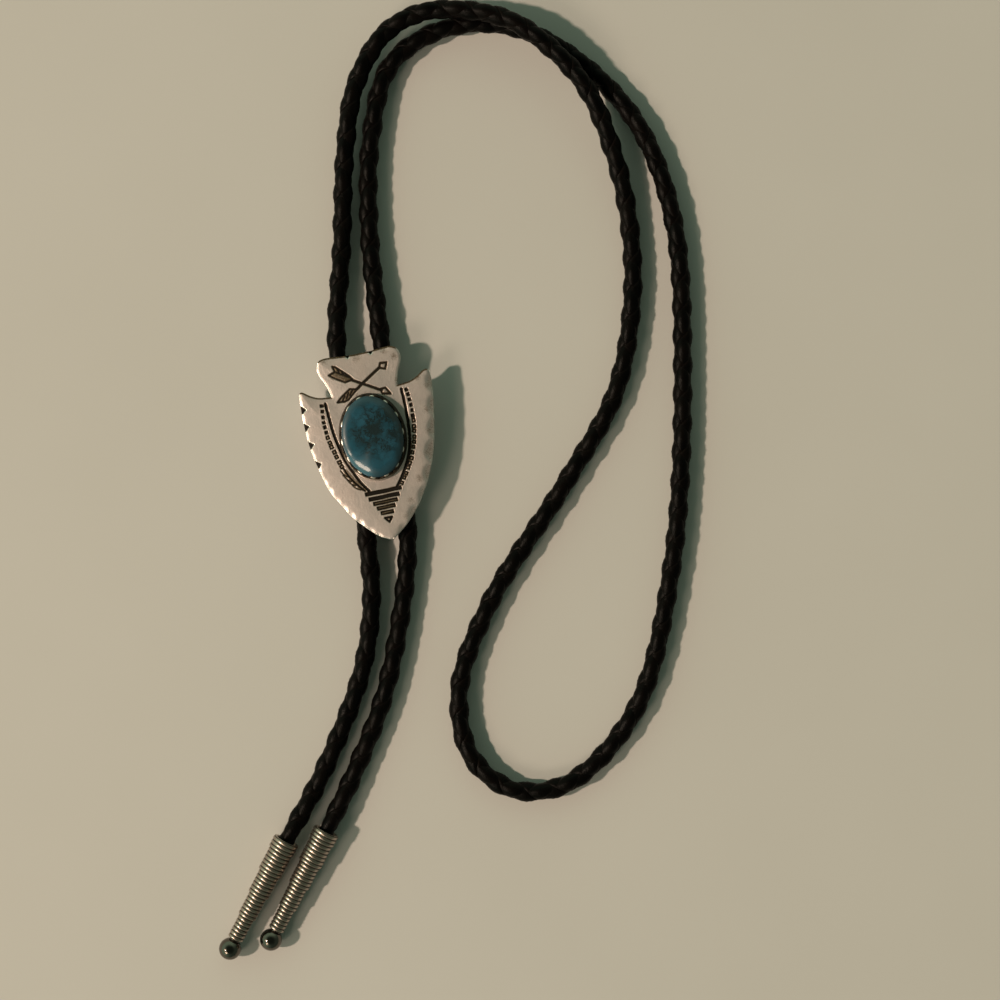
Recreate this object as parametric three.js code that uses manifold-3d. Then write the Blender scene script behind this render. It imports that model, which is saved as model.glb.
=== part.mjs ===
// A bolo tie lying on a table: a braided leather cord with two metal tips, held by a cast
// arrowhead slide that carries an oval stone and a spring clip on its back.
// Sizes are millimetres and +Z is up. The table is z = 0, the slide's middle is over the origin
// and the arrowhead points towards -Y.
import * as THREE from "three";
import { mergeVertices } from "three/addons/utils/BufferGeometryUtils.js";
import Module from "manifold-3d";

const wasm = await Module();
wasm.setup();

// Clearances
const GAP = 0.3; // between pieces that touch on the real thing
const LIE_GAP = 0.15; // under the cord where it lies on the table
const CUT_OVER = 1; // how far a cutter runs past the face that it opens

// Cord: a round four-strand braid, drawn here as a plain tube
const CORD_D = 4.3;
const CORD_SIDES = 10;
const CORD_STEPS = 82;
const CORD_LIE = CORD_D / 2 + LIE_GAP; // height of the centre line of cord that lies flat

// Clip: one sheet bent into two channels, with a flat land between them
const SHEET_T = 0.8;
const CLIP_L = 13;
const CLIP_BEND_R = 0.7;
const CLIP_BEND_STEPS = 3;
const CLIP_DROP = 1.3; // from the plate's back down to the outer edges of the clip
const CHANNEL_W = CORD_D + 2 * GAP;

// Slide: cast plate, stud and bezel in one solid
const HEAD_W = 32.8; // across the barbs
const HEAD_H = 47.7; // from the point to the base
const PLATE_T = 1.8;
const PLATE_BACK = SHEET_T + CORD_D + 2 * GAP;
const PLATE_TOP = PLATE_BACK + PLATE_T;
const SIDE_STEPS = 40; // points along each curved side
const SCOOP_R = 4; // ball that scoops each chip out of the edge
const SCOOP_RISE = 1.2; // its centre over the plate's top
const SCOOP_BITE = 1.5; // how far a chip reaches in from the edge at the top
const SCOOP_PITCH = 4.8;
const BASE_SCOOPS = 4;
const STUD_R = 1;
const STUD_HEAD_R = 1.8;
const STUD_HEAD_T = 0.7;
const STUD_SEGMENTS = 16;

// The stud's head stands between the channels, whose middles lie this far from the slide's
const HEAD_GAP = 0.35;
const CHANNEL_X = STUD_HEAD_R + HEAD_GAP + SHEET_T + CHANNEL_W / 2;

// Engraving in the plate's face
const CUT_DEPTH = 0.35;
const GROOVE_W = 0.6;
const GROOVE_STEPS = 12;
const STAMP_SIDE = 0.95;
const STAMP_PITCH = 1.3;
const ROW_OFFSET = 1.45; // from a groove to the row of stamps outside it
const GOUGE_W = 1.1;
const BAR_COUNT = 5;
const BAR_PITCH = 1.37;
const BAR_T = 0.85;
const BAR_LONG = 9; // length of the longest bar
const BAR_STEP = 1.45; // how much shorter each bar is than the one before
const BAR_TOP_UP = 0.257; // height of the first bar, as a share of the slide's
const BAR_POINT_W = 1.7; // the triangle that ends the stack
const BAR_POINT_L = 1.3;
const ARROW_L = 16;
const ARROW_ANGLE = Math.PI / 6;
const ARROW_CROSS_UP = 0.827; // height of the arrows' crossing, as a share of the slide's
const SHAFT_W = 0.5;
const ARROW_HEAD_L = 2;
const ARROW_HEAD_W = 1.6;
const VANE_L = 4;
const VANE_W = 0.9;
const VANE_SWEEP = 1.1;

// Stone and the bezel round it
const STONE_RX = 7.4;
const STONE_RY = 10;
const STONE_UP = 0.544; // height of its middle, as a share of the slide's
const STONE_WALL_H = 1; // upright part of its side
const STONE_H = 3.9;
const STONE_SEGMENTS = 32;
const DOME_STEPS = 6;
const BEZEL_T = 0.5;
const BEZEL_TEETH = 14;
const TOOTH_STEPS = 4;
const TOOTH_H = 0.4; // how far a tooth rises over the mean rim, and a notch falls under it
const TOOTH_LEAN = 0.45; // how far a tooth leans in over the stone
const RIM_RISE = 0.2; // from the top of the stone's upright side to the notches
const BEZEL_H = GAP + STONE_WALL_H + RIM_RISE + TOOTH_H; // mean height of the rim

// Tips: ribbed cones that end in a ball
const CONE_L = 28; // the ribbed length
const RIB_DEPTH = 0.32;
const NECK_L = 0.17;
const NECK_R = 1.2;
const BALL_R = 2.8;
const BALL_STEPS = 7;
const SOCKET_R = CORD_D / 2 + GAP;
const MOUTH_WALL = 0.95;
const MOUTH_R = SOCKET_R + MOUTH_WALL;
const TIP_SEGMENTS = 12;

// Steps of the cone from the ball to the mouth: how many ribs, and their radius as a share of
// the mouth's. The last two steps hold the socket.
const SOLID_TIERS = [
  { ribs: 6, radius: 0.6 },
  { ribs: 6, radius: 0.7 },
  { ribs: 6, radius: 0.81 },
];
const SOCKET_TIERS = [
  { ribs: 6, radius: 0.92 },
  { ribs: 3, radius: 1 },
];
const ribTotal = (tiers) => tiers.reduce((sum, { ribs }) => sum + ribs, 0);
const RIB_PITCH = CONE_L / (ribTotal(SOLID_TIERS) + ribTotal(SOCKET_TIERS));
const SOCKET_DEPTH = RIB_PITCH * ribTotal(SOCKET_TIERS) - GAP;
const TIP_L = CONE_L + NECK_L + Math.sqrt(BALL_R ** 2 - NECK_R ** 2); // mouth to ball centre

// Where each tip's mouth lies on the table, and the way the cord leaves it
const TIPS = [
  { name: "tip_left", x: -40.3, y: -93.2, heading: 51.7 },
  { name: "tip_right", x: -30, y: -92.7, heading: 52.2 },
];

// Right half of the arrowhead's base, from the middle of its top edge to the notch and out to
// the barb. side is a share of half the width, up is a share of the height from the point.
const BASE_OUTLINE = [
  { side: 0.5, up: 1 },
  { side: 0.61, up: 0.986 },
  { side: 0.66, up: 0.95 },
  { side: 0.65, up: 0.912 },
  { side: 0.575, up: 0.865 },
  { side: 0.53, up: 0.82 },
  { side: 0.512, up: 0.789 },
  { side: 0.695, up: 0.797 },
  { side: 0.817, up: 0.815 },
  { side: 0.95, up: 0.838 },
];

// Right side from the barb to the point, the knots of one smooth curve, in the same shares
const SIDE_KNOTS = [
  { side: 0.99, up: 0.832 },
  { side: 1, up: 0.72 },
  { side: 0.985, up: 0.59 },
  { side: 0.89, up: 0.437 },
  { side: 0.76, up: 0.3 },
  { side: 0.56, up: 0.18 },
  { side: 0.28, up: 0.06 },
  { side: 0, up: 0 },
];

// Right groove beside the stone, in the same shares
const GROOVE_KNOTS = [
  { side: 0.585, up: 0.76 },
  { side: 0.585, up: 0.675 },
  { side: 0.54, up: 0.515 },
  { side: 0.41, up: 0.38 },
  { side: 0.21, up: 0.27 },
];

// Rows of stamps outside the grooves: the side, and where along the groove the stamps end. The
// left row runs on in one long gouge.
const STAMP_ROWS = [
  { hand: -1, stampedTo: 0.62, gougedTo: 0.95 },
  { hand: 1, stampedTo: 0.95, gougedTo: 0.95 },
];

// The cord's route between the two tips, in the order left tip, slide, neck loop, slide, right
// tip. x and y are places on the table, lift is the height over cord that lies flat.
const ROUTE_TO_SLIDE = [
  { x: -28, y: -77.8, lift: 0 },
  { x: -13.7, y: -54.5, lift: 0 },
  { x: -8, y: -37, lift: 0 },
  { x: -6.4, y: -21.5, lift: 0.5 },
];
const ROUTE_OF_LOOP = [
  { x: -4.9, y: 26, lift: 0.6 },
  { x: 1, y: 51, lift: 0 },
  { x: 6.3, y: 74, lift: 1 },
  { x: 12, y: 89.8, lift: 1.4 },
  { x: 21.8, y: 101.1, lift: 1.9 },
  { x: 33.5, y: 104.2, lift: 3 },
  { x: 51.2, y: 98.8, lift: 4.8 },
  { x: 60.7, y: 90.2, lift: 4.6 },
  { x: 68.4, y: 78, lift: 3.7 },
  { x: 72.2, y: 62, lift: 1.4 },
  { x: 73.1, y: 45, lift: 0 },
  { x: 70.4, y: 25, lift: 0 },
  { x: 61.7, y: 2, lift: 0 },
  { x: 45.5, y: -17.6, lift: 0 },
  { x: 20.5, y: -44.6, lift: 0 },
  { x: 9.2, y: -64.5, lift: 0 },
  { x: 9.2, y: -81.3, lift: 0 },
  { x: 18, y: -91.3, lift: 0 },
  { x: 32, y: -92.2, lift: 0 },
  { x: 51.6, y: -77.5, lift: 0 },
  { x: 67.2, y: -44.5, lift: 0 },
  { x: 79, y: 2.5, lift: 0 },
  { x: 84, y: 43, lift: 0 },
  { x: 78.9, y: 69, lift: 0 },
  { x: 64.8, y: 88.8, lift: 0 },
  { x: 50.5, y: 98.1, lift: 0 },
  { x: 35, y: 99.5, lift: 0 },
  { x: 21.4, y: 93.2, lift: 0 },
  { x: 13.5, y: 77, lift: 0 },
  { x: 8.6, y: 54, lift: 0 },
  { x: 6.3, y: 26, lift: 0.6 },
];
const ROUTE_FROM_SLIDE = [
  { x: 4.1, y: -21.5, lift: 0.5 },
  { x: 1, y: -35, lift: 0 },
  { x: -9.3, y: -61.5, lift: 0 },
  { x: -20.9, y: -80.3, lift: 0 },
];

const FINISHES = {
  silver: { color: 0xc9c2b8, roughness: 0.38, metalness: 1 },
  chrome: { color: 0xd8d6d2, roughness: 0.12, metalness: 1 },
  steel: { color: 0x9a9894, roughness: 0.4, metalness: 1 },
  turquoise: { color: 0x1f5f6e, roughness: 0.2, metalness: 0 },
  leather: { color: 0x17120f, roughness: 0.55, metalness: 0 },
};

// Solids for the boolean cuts and joins

function solid(geometry) {
  const bare = geometry.clone();
  bare.deleteAttribute("normal");
  bare.deleteAttribute("uv");
  const merged = mergeVertices(bare, 1e-4);
  const vertProperties = merged.attributes.position.array;
  const triVerts = new Uint32Array(merged.index.array);
  return new wasm.Manifold(new wasm.Mesh({ numProp: 3, vertProperties, triVerts }));
}

function union(solids) {
  return solids.reduce((sum, next) => sum.add(next));
}

function geometryOf(manifold) {
  const mesh = manifold.getMesh();
  const geometry = new THREE.BufferGeometry();
  geometry.setAttribute("position", new THREE.BufferAttribute(new Float32Array(mesh.vertProperties), 3));
  geometry.setIndex(new THREE.BufferAttribute(new Uint32Array(mesh.triVerts), 1));
  const flat = geometry.toNonIndexed();
  flat.computeVertexNormals();
  return flat;
}

function addMesh(group, name, geometry, finish) {
  const mesh = new THREE.Mesh(geometry, new THREE.MeshStandardMaterial(FINISHES[finish]));
  mesh.name = name;
  group.add(mesh);
  return mesh;
}

// Plan outline of the arrowhead

function onHead({ side, up }, hand = 1) {
  return new THREE.Vector2((hand * side * HEAD_W) / 2, (up - 0.5) * HEAD_H);
}

function sideCurve(hand) {
  return new THREE.SplineCurve(SIDE_KNOTS.map((knot) => onHead(knot, hand)));
}

function headShape() {
  const base = BASE_OUTLINE.map((corner) => onHead(corner));
  const side = sideCurve(1).getSpacedPoints(SIDE_STEPS);
  const right = [...base, ...side];
  const left = right
    .slice(0, -1)
    .reverse()
    .map((point) => new THREE.Vector2(-point.x, point.y));
  return new THREE.Shape([...right, ...left].reverse());
}

function prism(shape, low, high) {
  const block = new THREE.ExtrudeGeometry(shape, { depth: high - low, bevelEnabled: false });
  return solid(block.translate(0, 0, low));
}

// Chips along the edge, each a ball that reaches SCOOP_BITE in from the edge at the top
function scoops() {
  const reach = Math.sqrt(SCOOP_R ** 2 - SCOOP_RISE ** 2) - SCOOP_BITE;
  const places = [];
  for (const hand of [-1, 1]) {
    const curve = sideCurve(hand);
    const length = curve.getLength();
    const count = Math.round(length / SCOOP_PITCH);
    for (let i = 0; i < count; i++) {
      const share = (i + 0.5) / count;
      const at = curve.getPointAt(share);
      const along = curve.getTangentAt(share);
      places.push(new THREE.Vector2(at.x - hand * along.y * reach, at.y + hand * along.x * reach));
    }
  }
  const baseHalf = (BASE_OUTLINE[0].side * HEAD_W) / 2;
  for (let i = 0; i < BASE_SCOOPS; i++) {
    const x = baseHalf * ((2 * i + 1) / BASE_SCOOPS - 1);
    places.push(new THREE.Vector2(x, HEAD_H / 2 + reach));
  }
  const ball = new THREE.IcosahedronGeometry(SCOOP_R, 2);
  return places.map((at) => solid(ball.clone().translate(at.x, at.y, PLATE_TOP + SCOOP_RISE)));
}

// Cutters of the engraving, all CUT_DEPTH deep

function cutter(shape) {
  return prism(shape, PLATE_TOP - CUT_DEPTH, PLATE_TOP + CUT_OVER);
}

function bar(centre, angle, length, width) {
  const long = new THREE.Vector2(length / 2, 0).rotateAround(new THREE.Vector2(), angle);
  const wide = new THREE.Vector2(0, width / 2).rotateAround(new THREE.Vector2(), angle);
  const corner = (a, b) => centre.clone().addScaledVector(long, a).addScaledVector(wide, b);
  return new THREE.Shape([corner(-1, -1), corner(1, -1), corner(1, 1), corner(-1, 1)]);
}

function grooveCurve(hand) {
  return new THREE.SplineCurve(GROOVE_KNOTS.map((knot) => onHead(knot, hand)));
}

// A band along a stretch of a curve, offset to its outer side
function band(curve, hand, from, to, offset, width) {
  const inner = [];
  const outer = [];
  for (let i = 0; i <= GROOVE_STEPS; i++) {
    const share = from + ((to - from) * i) / GROOVE_STEPS;
    const at = curve.getPointAt(share);
    const along = curve.getTangentAt(share);
    const out = new THREE.Vector2(-hand * along.y, hand * along.x);
    inner.push(at.clone().addScaledVector(out, offset - width / 2));
    outer.push(at.clone().addScaledVector(out, offset + width / 2));
  }
  const ring = [...inner, ...outer.reverse()];
  return new THREE.Shape(THREE.ShapeUtils.isClockWise(ring) ? ring.reverse() : ring);
}

// A plain groove beside the stone, and outside it a row of stamps that may run on as a gouge
function stampRow({ hand, stampedTo, gougedTo }) {
  const curve = grooveCurve(hand);
  const pitch = STAMP_PITCH / curve.getLength();
  const cuts = [cutter(band(curve, hand, 0, 1, 0, GROOVE_W))];
  for (let share = 0; share <= stampedTo; share += pitch) {
    const at = curve.getPointAt(share);
    const along = curve.getTangentAt(share);
    const centre = at.add(new THREE.Vector2(-hand * along.y, hand * along.x).multiplyScalar(ROW_OFFSET));
    cuts.push(cutter(bar(centre, Math.atan2(along.y, along.x), STAMP_SIDE, STAMP_SIDE)));
  }
  if (gougedTo > stampedTo) {
    cuts.push(cutter(band(curve, hand, stampedTo, gougedTo, ROW_OFFSET, GOUGE_W)));
  }
  return cuts;
}

// The stack of bars under the stone, each shorter than the one over it, ended by a triangle
function barStack() {
  const first = onHead({ side: 0, up: BAR_TOP_UP });
  const under = (x, y) => first.clone().add(new THREE.Vector2(x, -y));
  const cuts = [];
  for (let i = 0; i < BAR_COUNT; i++) {
    cuts.push(cutter(bar(under(0, i * BAR_PITCH), 0, BAR_LONG - i * BAR_STEP, BAR_T)));
  }
  const top = BAR_COUNT * BAR_PITCH - BAR_T / 2;
  const corners = [
    under(-BAR_POINT_W / 2, top),
    under(0, top + BAR_POINT_L),
    under(BAR_POINT_W / 2, top),
  ];
  cuts.push(cutter(new THREE.Shape(corners)));
  return cuts;
}

// One arrow with its head to the right, through the point where the two cross
function arrow(hand) {
  const tilt = hand * ARROW_ANGLE;
  const crossing = onHead({ side: 0, up: ARROW_CROSS_UP });
  const place = (x, y) => new THREE.Vector2(x, y).rotateAround(new THREE.Vector2(), tilt).add(crossing);
  const tip = ARROW_L / 2;
  const neck = tip - ARROW_HEAD_L;
  const head = [place(neck, -ARROW_HEAD_W / 2), place(tip, 0), place(neck, ARROW_HEAD_W / 2)];
  const shaftEnd = -tip + VANE_L / 2;
  const shaft = bar(place((neck + shaftEnd) / 2, 0), tilt, neck - shaftEnd + SHAFT_W, SHAFT_W);
  const cuts = [cutter(new THREE.Shape(head)), cutter(shaft)];
  for (const flank of [-1, 1]) {
    const near = (flank * SHAFT_W) / 2;
    const far = near + flank * VANE_W;
    const vane = [
      place(-tip + VANE_SWEEP, near),
      place(-tip + VANE_SWEEP + VANE_L, near),
      place(-tip + VANE_L, far),
      place(-tip, far),
    ];
    cuts.push(cutter(new THREE.Shape(flank > 0 ? vane : vane.reverse())));
  }
  return cuts;
}

const STONE_MIDDLE = onHead({ side: 0, up: STONE_UP });

// Oval collar with a toothed rim that leans in over the stone
function bezel() {
  const count = BEZEL_TEETH * TOOTH_STEPS;
  const innerX = STONE_RX + GAP;
  const innerY = STONE_RY + GAP;
  const foot = PLATE_TOP - CUT_DEPTH;
  const middle = PLATE_TOP + BEZEL_H / 2;
  const rim = PLATE_TOP + BEZEL_H;
  const sections = [
    { wall: BEZEL_T, level: foot, toothed: false },
    { wall: BEZEL_T, level: middle, toothed: false },
    { wall: BEZEL_T, level: rim, toothed: true },
    { wall: 0, level: rim, toothed: true },
    { wall: 0, level: middle, toothed: false },
    { wall: 0, level: foot, toothed: false },
  ];
  const positions = [];
  for (const { wall, level, toothed } of sections) {
    for (let i = 0; i < count; i++) {
      const turn = (i / count) * 2 * Math.PI;
      const wave = toothed ? Math.cos(BEZEL_TEETH * turn) : 0;
      const lean = toothed ? (TOOTH_LEAN * (1 + wave)) / 2 : 0;
      const x = (innerX + wall - lean) * Math.cos(turn);
      const y = STONE_MIDDLE.y + (innerY + wall - lean) * Math.sin(turn);
      positions.push(x, y, level + TOOTH_H * wave);
    }
  }
  const index = [];
  for (let s = 0; s < sections.length; s++) {
    const next = ((s + 1) % sections.length) * count;
    for (let i = 0; i < count; i++) {
      const j = (i + 1) % count;
      const a = s * count + i;
      const b = s * count + j;
      index.push(a, b, next + j, a, next + j, next + i);
    }
  }
  const geometry = new THREE.BufferGeometry();
  geometry.setAttribute("position", new THREE.Float32BufferAttribute(positions, 3));
  geometry.setIndex(index);
  return solid(geometry);
}

function upright(radius, low, high) {
  const cylinder = new THREE.CylinderGeometry(radius, radius, high - low, STUD_SEGMENTS);
  return solid(cylinder.rotateX(Math.PI / 2).translate(0, 0, (low + high) / 2));
}

// Stud on the plate's back, riveted over under the clip's land
function stud() {
  const landBottom = PLATE_BACK - GAP - SHEET_T;
  const headTop = landBottom - GAP;
  const shank = upright(STUD_R, headTop - STUD_HEAD_T / 2, PLATE_BACK + PLATE_T / 2);
  return shank.add(upright(STUD_HEAD_R, headTop - STUD_HEAD_T, headTop));
}

function slideGeometry() {
  const plate = prism(headShape(), PLATE_BACK, PLATE_TOP);
  const marks = [...STAMP_ROWS.flatMap(stampRow), ...barStack(), ...arrow(-1), ...arrow(1)];
  const cut = plate.subtract(union([...scoops(), ...marks]));
  return geometryOf(union([cut, bezel(), stud()]));
}

// Stone: an oval cabochon with a short upright side and a domed top
function stoneGeometry() {
  const profile = [new THREE.Vector2(0, 0), new THREE.Vector2(1, 0)];
  for (let i = 0; i < DOME_STEPS; i++) {
    const turn = (i / DOME_STEPS) * (Math.PI / 2);
    const rise = (STONE_H - STONE_WALL_H) * Math.sin(turn);
    profile.push(new THREE.Vector2(Math.cos(turn), STONE_WALL_H + rise));
  }
  profile.push(new THREE.Vector2(0, STONE_H));
  const geometry = new THREE.LatheGeometry(profile, STONE_SEGMENTS);
  return geometry.rotateX(Math.PI / 2).scale(STONE_RX, STONE_RY, 1);
}

// Clip: the section is drawn in X and Z and runs along Y
function clipGeometry() {
  const inFace = CHANNEL_X - CHANNEL_W / 2;
  const outFace = CHANNEL_X + CHANNEL_W / 2;
  const landTop = PLATE_BACK - GAP;
  const lip = PLATE_BACK - CLIP_DROP;
  const right = [
    { x: inFace, z: landTop, bend: true },
    { x: inFace, z: SHEET_T, bend: false },
    { x: outFace, z: SHEET_T, bend: false },
    { x: outFace, z: lip, bend: false },
    { x: outFace + SHEET_T, z: lip, bend: false },
    { x: outFace + SHEET_T, z: 0, bend: true },
    { x: inFace - SHEET_T, z: 0, bend: true },
    { x: inFace - SHEET_T, z: landTop - SHEET_T, bend: false },
  ];
  const left = right.map(({ x, z, bend }) => ({ x: -x, z, bend })).reverse();
  const corners = [...right, ...left];
  const points = corners.flatMap(({ x, z, bend }, i) => {
    const at = new THREE.Vector2(x, z);
    if (!bend) return [at];
    const before = corners[(i + corners.length - 1) % corners.length];
    const after = corners[(i + 1) % corners.length];
    const start = at.clone().add(new THREE.Vector2(before.x - x, before.z - z).setLength(CLIP_BEND_R));
    const end = at.clone().add(new THREE.Vector2(after.x - x, after.z - z).setLength(CLIP_BEND_R));
    return new THREE.QuadraticBezierCurve(start, at, end).getPoints(CLIP_BEND_STEPS);
  });
  const section = new THREE.Shape(points.reverse());
  const sheet = new THREE.ExtrudeGeometry(section, { depth: CLIP_L, bevelEnabled: false });
  sheet.rotateX(Math.PI / 2).translate(0, CLIP_L / 2, 0);
  const hole = upright(STUD_R + GAP, landTop - SHEET_T - CUT_OVER, landTop + CUT_OVER);
  return geometryOf(solid(sheet).subtract(hole));
}

// Tip: a lathe round its own Y, with the mouth at the origin and the ball at the far end
function tipGeometry() {
  const profile = [];
  const neckTurn = Math.acos(NECK_R / BALL_R);
  for (let i = 0; i <= BALL_STEPS; i++) {
    const turn = -Math.PI / 2 + (i / BALL_STEPS) * (Math.PI / 2 + neckTurn);
    profile.push(new THREE.Vector2(Math.max(0, BALL_R * Math.cos(turn)), BALL_R * Math.sin(turn) - TIP_L));
  }
  profile[0].x = 0;
  const tiers = [...SOLID_TIERS, ...SOCKET_TIERS];
  const ribs = tiers.flatMap(({ ribs: count, radius }) => Array(count).fill(radius * MOUTH_R));
  ribs.forEach((radius, i) => {
    const low = -RIB_PITCH * (ribs.length - i);
    profile.push(new THREE.Vector2(radius - RIB_DEPTH, low));
    profile.push(new THREE.Vector2(radius, low + RIB_PITCH / 2));
  });
  profile.push(new THREE.Vector2(MOUTH_R - RIB_DEPTH / 2, 0));
  profile.push(new THREE.Vector2(SOCKET_R, 0));
  profile.push(new THREE.Vector2(SOCKET_R, -SOCKET_DEPTH));
  profile.push(new THREE.Vector2(0, -SOCKET_DEPTH));
  return new THREE.LatheGeometry(profile, TIP_SEGMENTS);
}

// A tip lies on its mouth's rim and its ball, so its axis dips a little towards the ball
const TIP_DIP = Math.asin((MOUTH_R - BALL_R) / TIP_L);
const MOUTH_Z = MOUTH_R + LIE_GAP;

function tipFrame({ x, y, heading }) {
  const turn = THREE.MathUtils.degToRad(heading);
  const flat = Math.cos(TIP_DIP);
  const out = new THREE.Vector3(flat * Math.cos(turn), flat * Math.sin(turn), Math.sin(TIP_DIP));
  return { mouth: new THREE.Vector3(x, y, MOUTH_Z), out };
}

// The cord's centre line, from inside one tip, through both channels, to inside the other
function cordCurve() {
  const [first, last] = TIPS.map(tipFrame);
  const inside = ({ mouth, out }) => mouth.clone().addScaledVector(out, GAP - SOCKET_DEPTH);
  const lying = ({ x, y, lift }) => new THREE.Vector3(x, y, CORD_LIE + lift);
  const channelZ = SHEET_T + GAP + CORD_D / 2;
  const inChannel = (hand, end) => new THREE.Vector3(hand * CHANNEL_X, (end * CLIP_L) / 2, channelZ);
  const points = [
    inside(first),
    first.mouth,
    ...ROUTE_TO_SLIDE.map(lying),
    inChannel(-1, -1),
    inChannel(-1, 1),
    ...ROUTE_OF_LOOP.map(lying),
    inChannel(1, 1),
    inChannel(1, -1),
    ...ROUTE_FROM_SLIDE.map(lying),
    last.mouth,
    inside(last),
  ];
  return new THREE.CatmullRomCurve3(points, false, "centripetal");
}

function cordGeometry() {
  const ring = [];
  for (let i = 0; i < CORD_SIDES; i++) {
    const turn = (i / CORD_SIDES) * 2 * Math.PI;
    ring.push(new THREE.Vector2((CORD_D / 2) * Math.cos(turn), (CORD_D / 2) * Math.sin(turn)));
  }
  const extrudePath = cordCurve();
  return new THREE.ExtrudeGeometry(new THREE.Shape(ring), { steps: CORD_STEPS, extrudePath });
}

const boloTie = new THREE.Group();

const slide = new THREE.Group();
addMesh(slide, "arrowhead_slide", slideGeometry(), "silver");
const stone = addMesh(slide, "turquoise_stone", stoneGeometry(), "turquoise");
stone.position.set(STONE_MIDDLE.x, STONE_MIDDLE.y, PLATE_TOP + GAP);
addMesh(slide, "cord_clip", clipGeometry(), "steel");
boloTie.add(slide);

addMesh(boloTie, "braided_cord", cordGeometry(), "leather");

for (const place of TIPS) {
  const { mouth, out } = tipFrame(place);
  const tip = addMesh(boloTie, place.name, tipGeometry(), "chrome");
  tip.position.copy(mouth);
  tip.quaternion.setFromUnitVectors(new THREE.Vector3(0, 1, 0), out);
}

export default boloTie;
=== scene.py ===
"""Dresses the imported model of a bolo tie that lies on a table, seen from straight above.

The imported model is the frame: every piece made here sits where its CAD node sits. Lengths in the
sizes below are millimetres, and a mesh is scaled to metres as it is made.
"""

import logging
import math
from dataclasses import dataclass, field
from enum import Enum
from typing import Any

import bmesh
import bpy
import numpy as np
from mathutils import Matrix, Vector


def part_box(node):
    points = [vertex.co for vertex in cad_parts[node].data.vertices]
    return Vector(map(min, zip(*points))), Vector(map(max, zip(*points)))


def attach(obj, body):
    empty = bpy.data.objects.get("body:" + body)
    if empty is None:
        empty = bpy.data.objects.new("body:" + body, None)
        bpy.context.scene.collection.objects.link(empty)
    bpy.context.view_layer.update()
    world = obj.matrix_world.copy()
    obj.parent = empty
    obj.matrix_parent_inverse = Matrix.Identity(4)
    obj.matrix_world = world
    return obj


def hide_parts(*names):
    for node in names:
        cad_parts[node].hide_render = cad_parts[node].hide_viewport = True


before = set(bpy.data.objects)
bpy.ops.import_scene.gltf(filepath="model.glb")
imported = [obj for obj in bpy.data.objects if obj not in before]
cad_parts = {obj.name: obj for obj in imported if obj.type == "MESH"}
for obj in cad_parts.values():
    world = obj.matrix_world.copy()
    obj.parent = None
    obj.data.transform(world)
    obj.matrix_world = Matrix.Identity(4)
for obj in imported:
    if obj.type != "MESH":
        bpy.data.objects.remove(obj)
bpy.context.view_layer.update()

log = logging.getLogger("bolo_tie")

MM = 0.001
Colour = tuple[float, float, float]
Array = np.ndarray


# Node trees


class Wire:
    """A node's output in an expression. Operators on wires and numbers add Math nodes."""

    def __init__(self, graph: "Graph", socket: bpy.types.NodeSocket) -> None:
        """Holds the socket and the graph that its expressions add to."""
        self.graph = graph
        self.socket = socket

    def __add__(self, other: "Number") -> "Wire":
        """Sum."""
        return self.graph.math("ADD", self, other)

    __radd__ = __add__

    def __sub__(self, other: "Number") -> "Wire":
        """Difference."""
        return self.graph.math("SUBTRACT", self, other)

    def __rsub__(self, other: "Number") -> "Wire":
        """Difference from a number."""
        return self.graph.math("SUBTRACT", other, self)

    def __mul__(self, other: "Number") -> "Wire":
        """Product."""
        return self.graph.math("MULTIPLY", self, other)

    __rmul__ = __mul__

    def __truediv__(self, other: "Number") -> "Wire":
        """Quotient."""
        return self.graph.math("DIVIDE", self, other)

    def __rtruediv__(self, other: "Number") -> "Wire":
        """Quotient of a number by the wire."""
        return self.graph.math("DIVIDE", other, self)

    def __pow__(self, other: "Number") -> "Wire":
        """Power."""
        return self.graph.math("POWER", self, other)

    def step(self, low: float, high: float) -> "Wire":
        """A smooth step from 0 at low to 1 at high."""
        sizes = {"Value": self, "From Min": low, "From Max": high}
        return self.graph.wire("ShaderNodeMapRange", {"interpolation_type": "SMOOTHSTEP"}, sizes)

    def between(self, low: float, high: float) -> "Wire":
        """A value that goes from low to high as the wire goes from 0 to 1."""
        return self * (high - low) + low


Number = Wire | float


def socket_named(sockets: Any, key: str | int) -> bpy.types.NodeSocket:
    """Finds a node's socket.

    Args:
        sockets: The node's inputs or outputs.
        key: Its place in the list, or its name, where only sockets in use are looked at.

    Returns:
        The socket.
    """
    if isinstance(key, int):
        return sockets[key]
    return next(socket for socket in sockets if socket.enabled and socket.name == key)


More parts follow.
